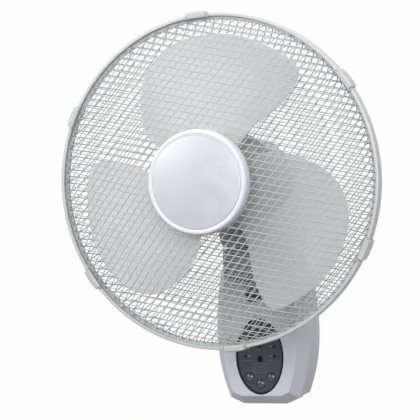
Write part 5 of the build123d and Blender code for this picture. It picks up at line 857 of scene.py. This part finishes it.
clip_plastic = finish("clip_plastic", tint(178, 180, 180), 0.3, 0.1, grain=2400, depth=0.01, clouds=30, shade=0.08,
                      rub=0.15, worn=0.5, bare=tint(214, 215, 215), sockets={"Coat Weight": 0.2})
CLIP_OUT_R, CLIP_IN_R, CLIP_BOW_R = 0.2179, 0.2154, 0.05765     # both faces of the wall, and its curve to the ends
CLIP_FRONT_Y, CLIP_MIDDLE_Y, CLIP_REAR_Y, CLIP_END = -0.2263, -0.2153, -0.2044, 0.0008
HOOK_R, HOOK_Y = 0.2110, -0.20615
clip_profile = eased([(PIVOT_R, CLIP_FRONT_Y), (CLIP_OUT_R - 0.0018, CLIP_FRONT_Y),
                      (CLIP_OUT_R, CLIP_FRONT_Y + 0.0018), (CLIP_OUT_R, CLIP_REAR_Y - 0.001),
                      (CLIP_OUT_R - 0.001, CLIP_REAR_Y), (HOOK_R, CLIP_REAR_Y),
                      (HOOK_R, HOOK_Y), (CLIP_IN_R, HOOK_Y - 0.00045), (CLIP_IN_R, PIVOT_Y + BARREL_R),
                      (PIVOT_R, PIVOT_Y + BARREL_R), (PIVOT_R - BARREL_R, PIVOT_Y)], 0.0009, 4)


def clip(angle):
    """Lever across the rim: the profile at places along the tangent, which crowd towards the ends. The outer wall
    keeps inside the circle of its bow, and the last rows close round the middle of the wall."""
    run = CLIP_HALF * np.sin(np.linspace(-np.pi / 2, np.pi / 2, 31))[:, None]
    bow = CLIP_OUT_R - CLIP_BOW_R + np.sqrt(CLIP_BOW_R ** 2 - run ** 2)
    radius, depth = np.minimum(clip_profile[None, :, 0], bow), clip_profile[None, :, 1] + 0 * run
    left = np.clip((CLIP_HALF - np.abs(run)) / CLIP_END, 0, 1)
    closed = np.sqrt(left * (2 - left))
    heart = (bow + CLIP_IN_R) / 2
    return on_rim(heart + (radius - heart) * closed, CLIP_MIDDLE_Y + (depth - CLIP_MIDDLE_Y) * closed ** 0.25, run,
                  angle)


for number, angle in enumerate(CLIP_ANGLES, 1):
    make(f"clip_lever_{number}", [clip(angle)], clip_plastic, f"clip_{number}",
         [f"guard_clip_{number}"])

# -------------------------------- Centre cap
# A glossy moulded bezel covers the middle of the front guard, and a satin silver disc with a slight crown is
# pressed into it. A screw through the plate behind the wires holds both.

CAP_R, CAP_EDGE_Y, CAP_WALL = 0.0665, -0.2922, 0.0022
DISC_R, DISC_T, DISC_CROWN, DISC_GAP = 0.0583, 0.0012, 0.0023, 0.0001
front_dome = Dome(FRONT_H, 0)
wire_tops = front_dome.sphere_r + LAYER + WIRE_R
skirt_y = FRONT_Y - front_dome.sphere_h - math.sqrt((wire_tops + 0.0003) ** 2 - CAP_R ** 2)

bezel_gloss = finish("bezel_gloss", tint(214, 216, 221), 0.25, grain=900, depth=0.004, clouds=20, shade=0.03,
                     rub=0.08, gloss=0.2)


def spun_lines(tree):
    """Turning marks on the disc: fine rings round the head axis, broken by noise."""
    place = fed(tree, "Mapping", {"Vector": own_place(tree), "Location": (0, 0, -HEAD_Z)})[0]
    return waves(tree, "RINGS", 900.0, 0.6, place)


disc_satin = finish("disc_satin", tint(182, 183, 187), 0.3, 0.45, grain=1800, depth=0.0015, clouds=16, shade=0.03,
                    rub=0.1, relief=spun_lines, sockets={"Coat Weight": 0.3, "Coat Roughness": 0.2})
back_y = CAP_EDGE_Y + 0.0012
bezel_profile = eased([(skirt_y, CAP_R), (CAP_EDGE_Y + 0.0062, CAP_R), (CAP_EDGE_Y + 0.0006, CAP_R - 0.0018),
                       (CAP_EDGE_Y - 0.0004, CAP_R - 0.0050), (CAP_EDGE_Y + 0.0004, DISC_R + 0.0022),
                       (CAP_EDGE_Y + 0.0004, DISC_R + 0.0003), (back_y, DISC_R + 0.0003), (back_y - DISC_CROWN, 0.0),
                       (back_y - DISC_CROWN + 0.002, 0.0), (back_y + 0.002, DISC_R),
                       (back_y + 0.004, CAP_R - CAP_WALL), (skirt_y, CAP_R - CAP_WALL)],
                      (0.0003, 0.0050, 0.0024, 0.0018, 0.0006, 0.0004, 0.0003, 0, 0, 0.001, 0.002, 0.0003), 8)
make("cap_bezel", [spun(bezel_profile, 256, loop=True)], bezel_gloss, "head", ["centre_cap"])

t = np.linspace(0, 1, 40)
front_curve = np.stack([back_y - DISC_GAP - DISC_T - DISC_CROWN * (1 - t ** 2), DISC_R * t], -1)
rear_curve = front_curve[::-1] + (DISC_T, 0)
disc_corner = eased([front_curve[-2], front_curve[-1], rear_curve[0]], 0.0004, 6, closed=False)
disc_profile = np.concatenate([front_curve[:-1], disc_corner, rear_curve])
make("cap_face", [spun(disc_profile, 256)], disc_satin, "head", ["cap_disc"])
dress(zinc, "cap_screw", ease=0.0)
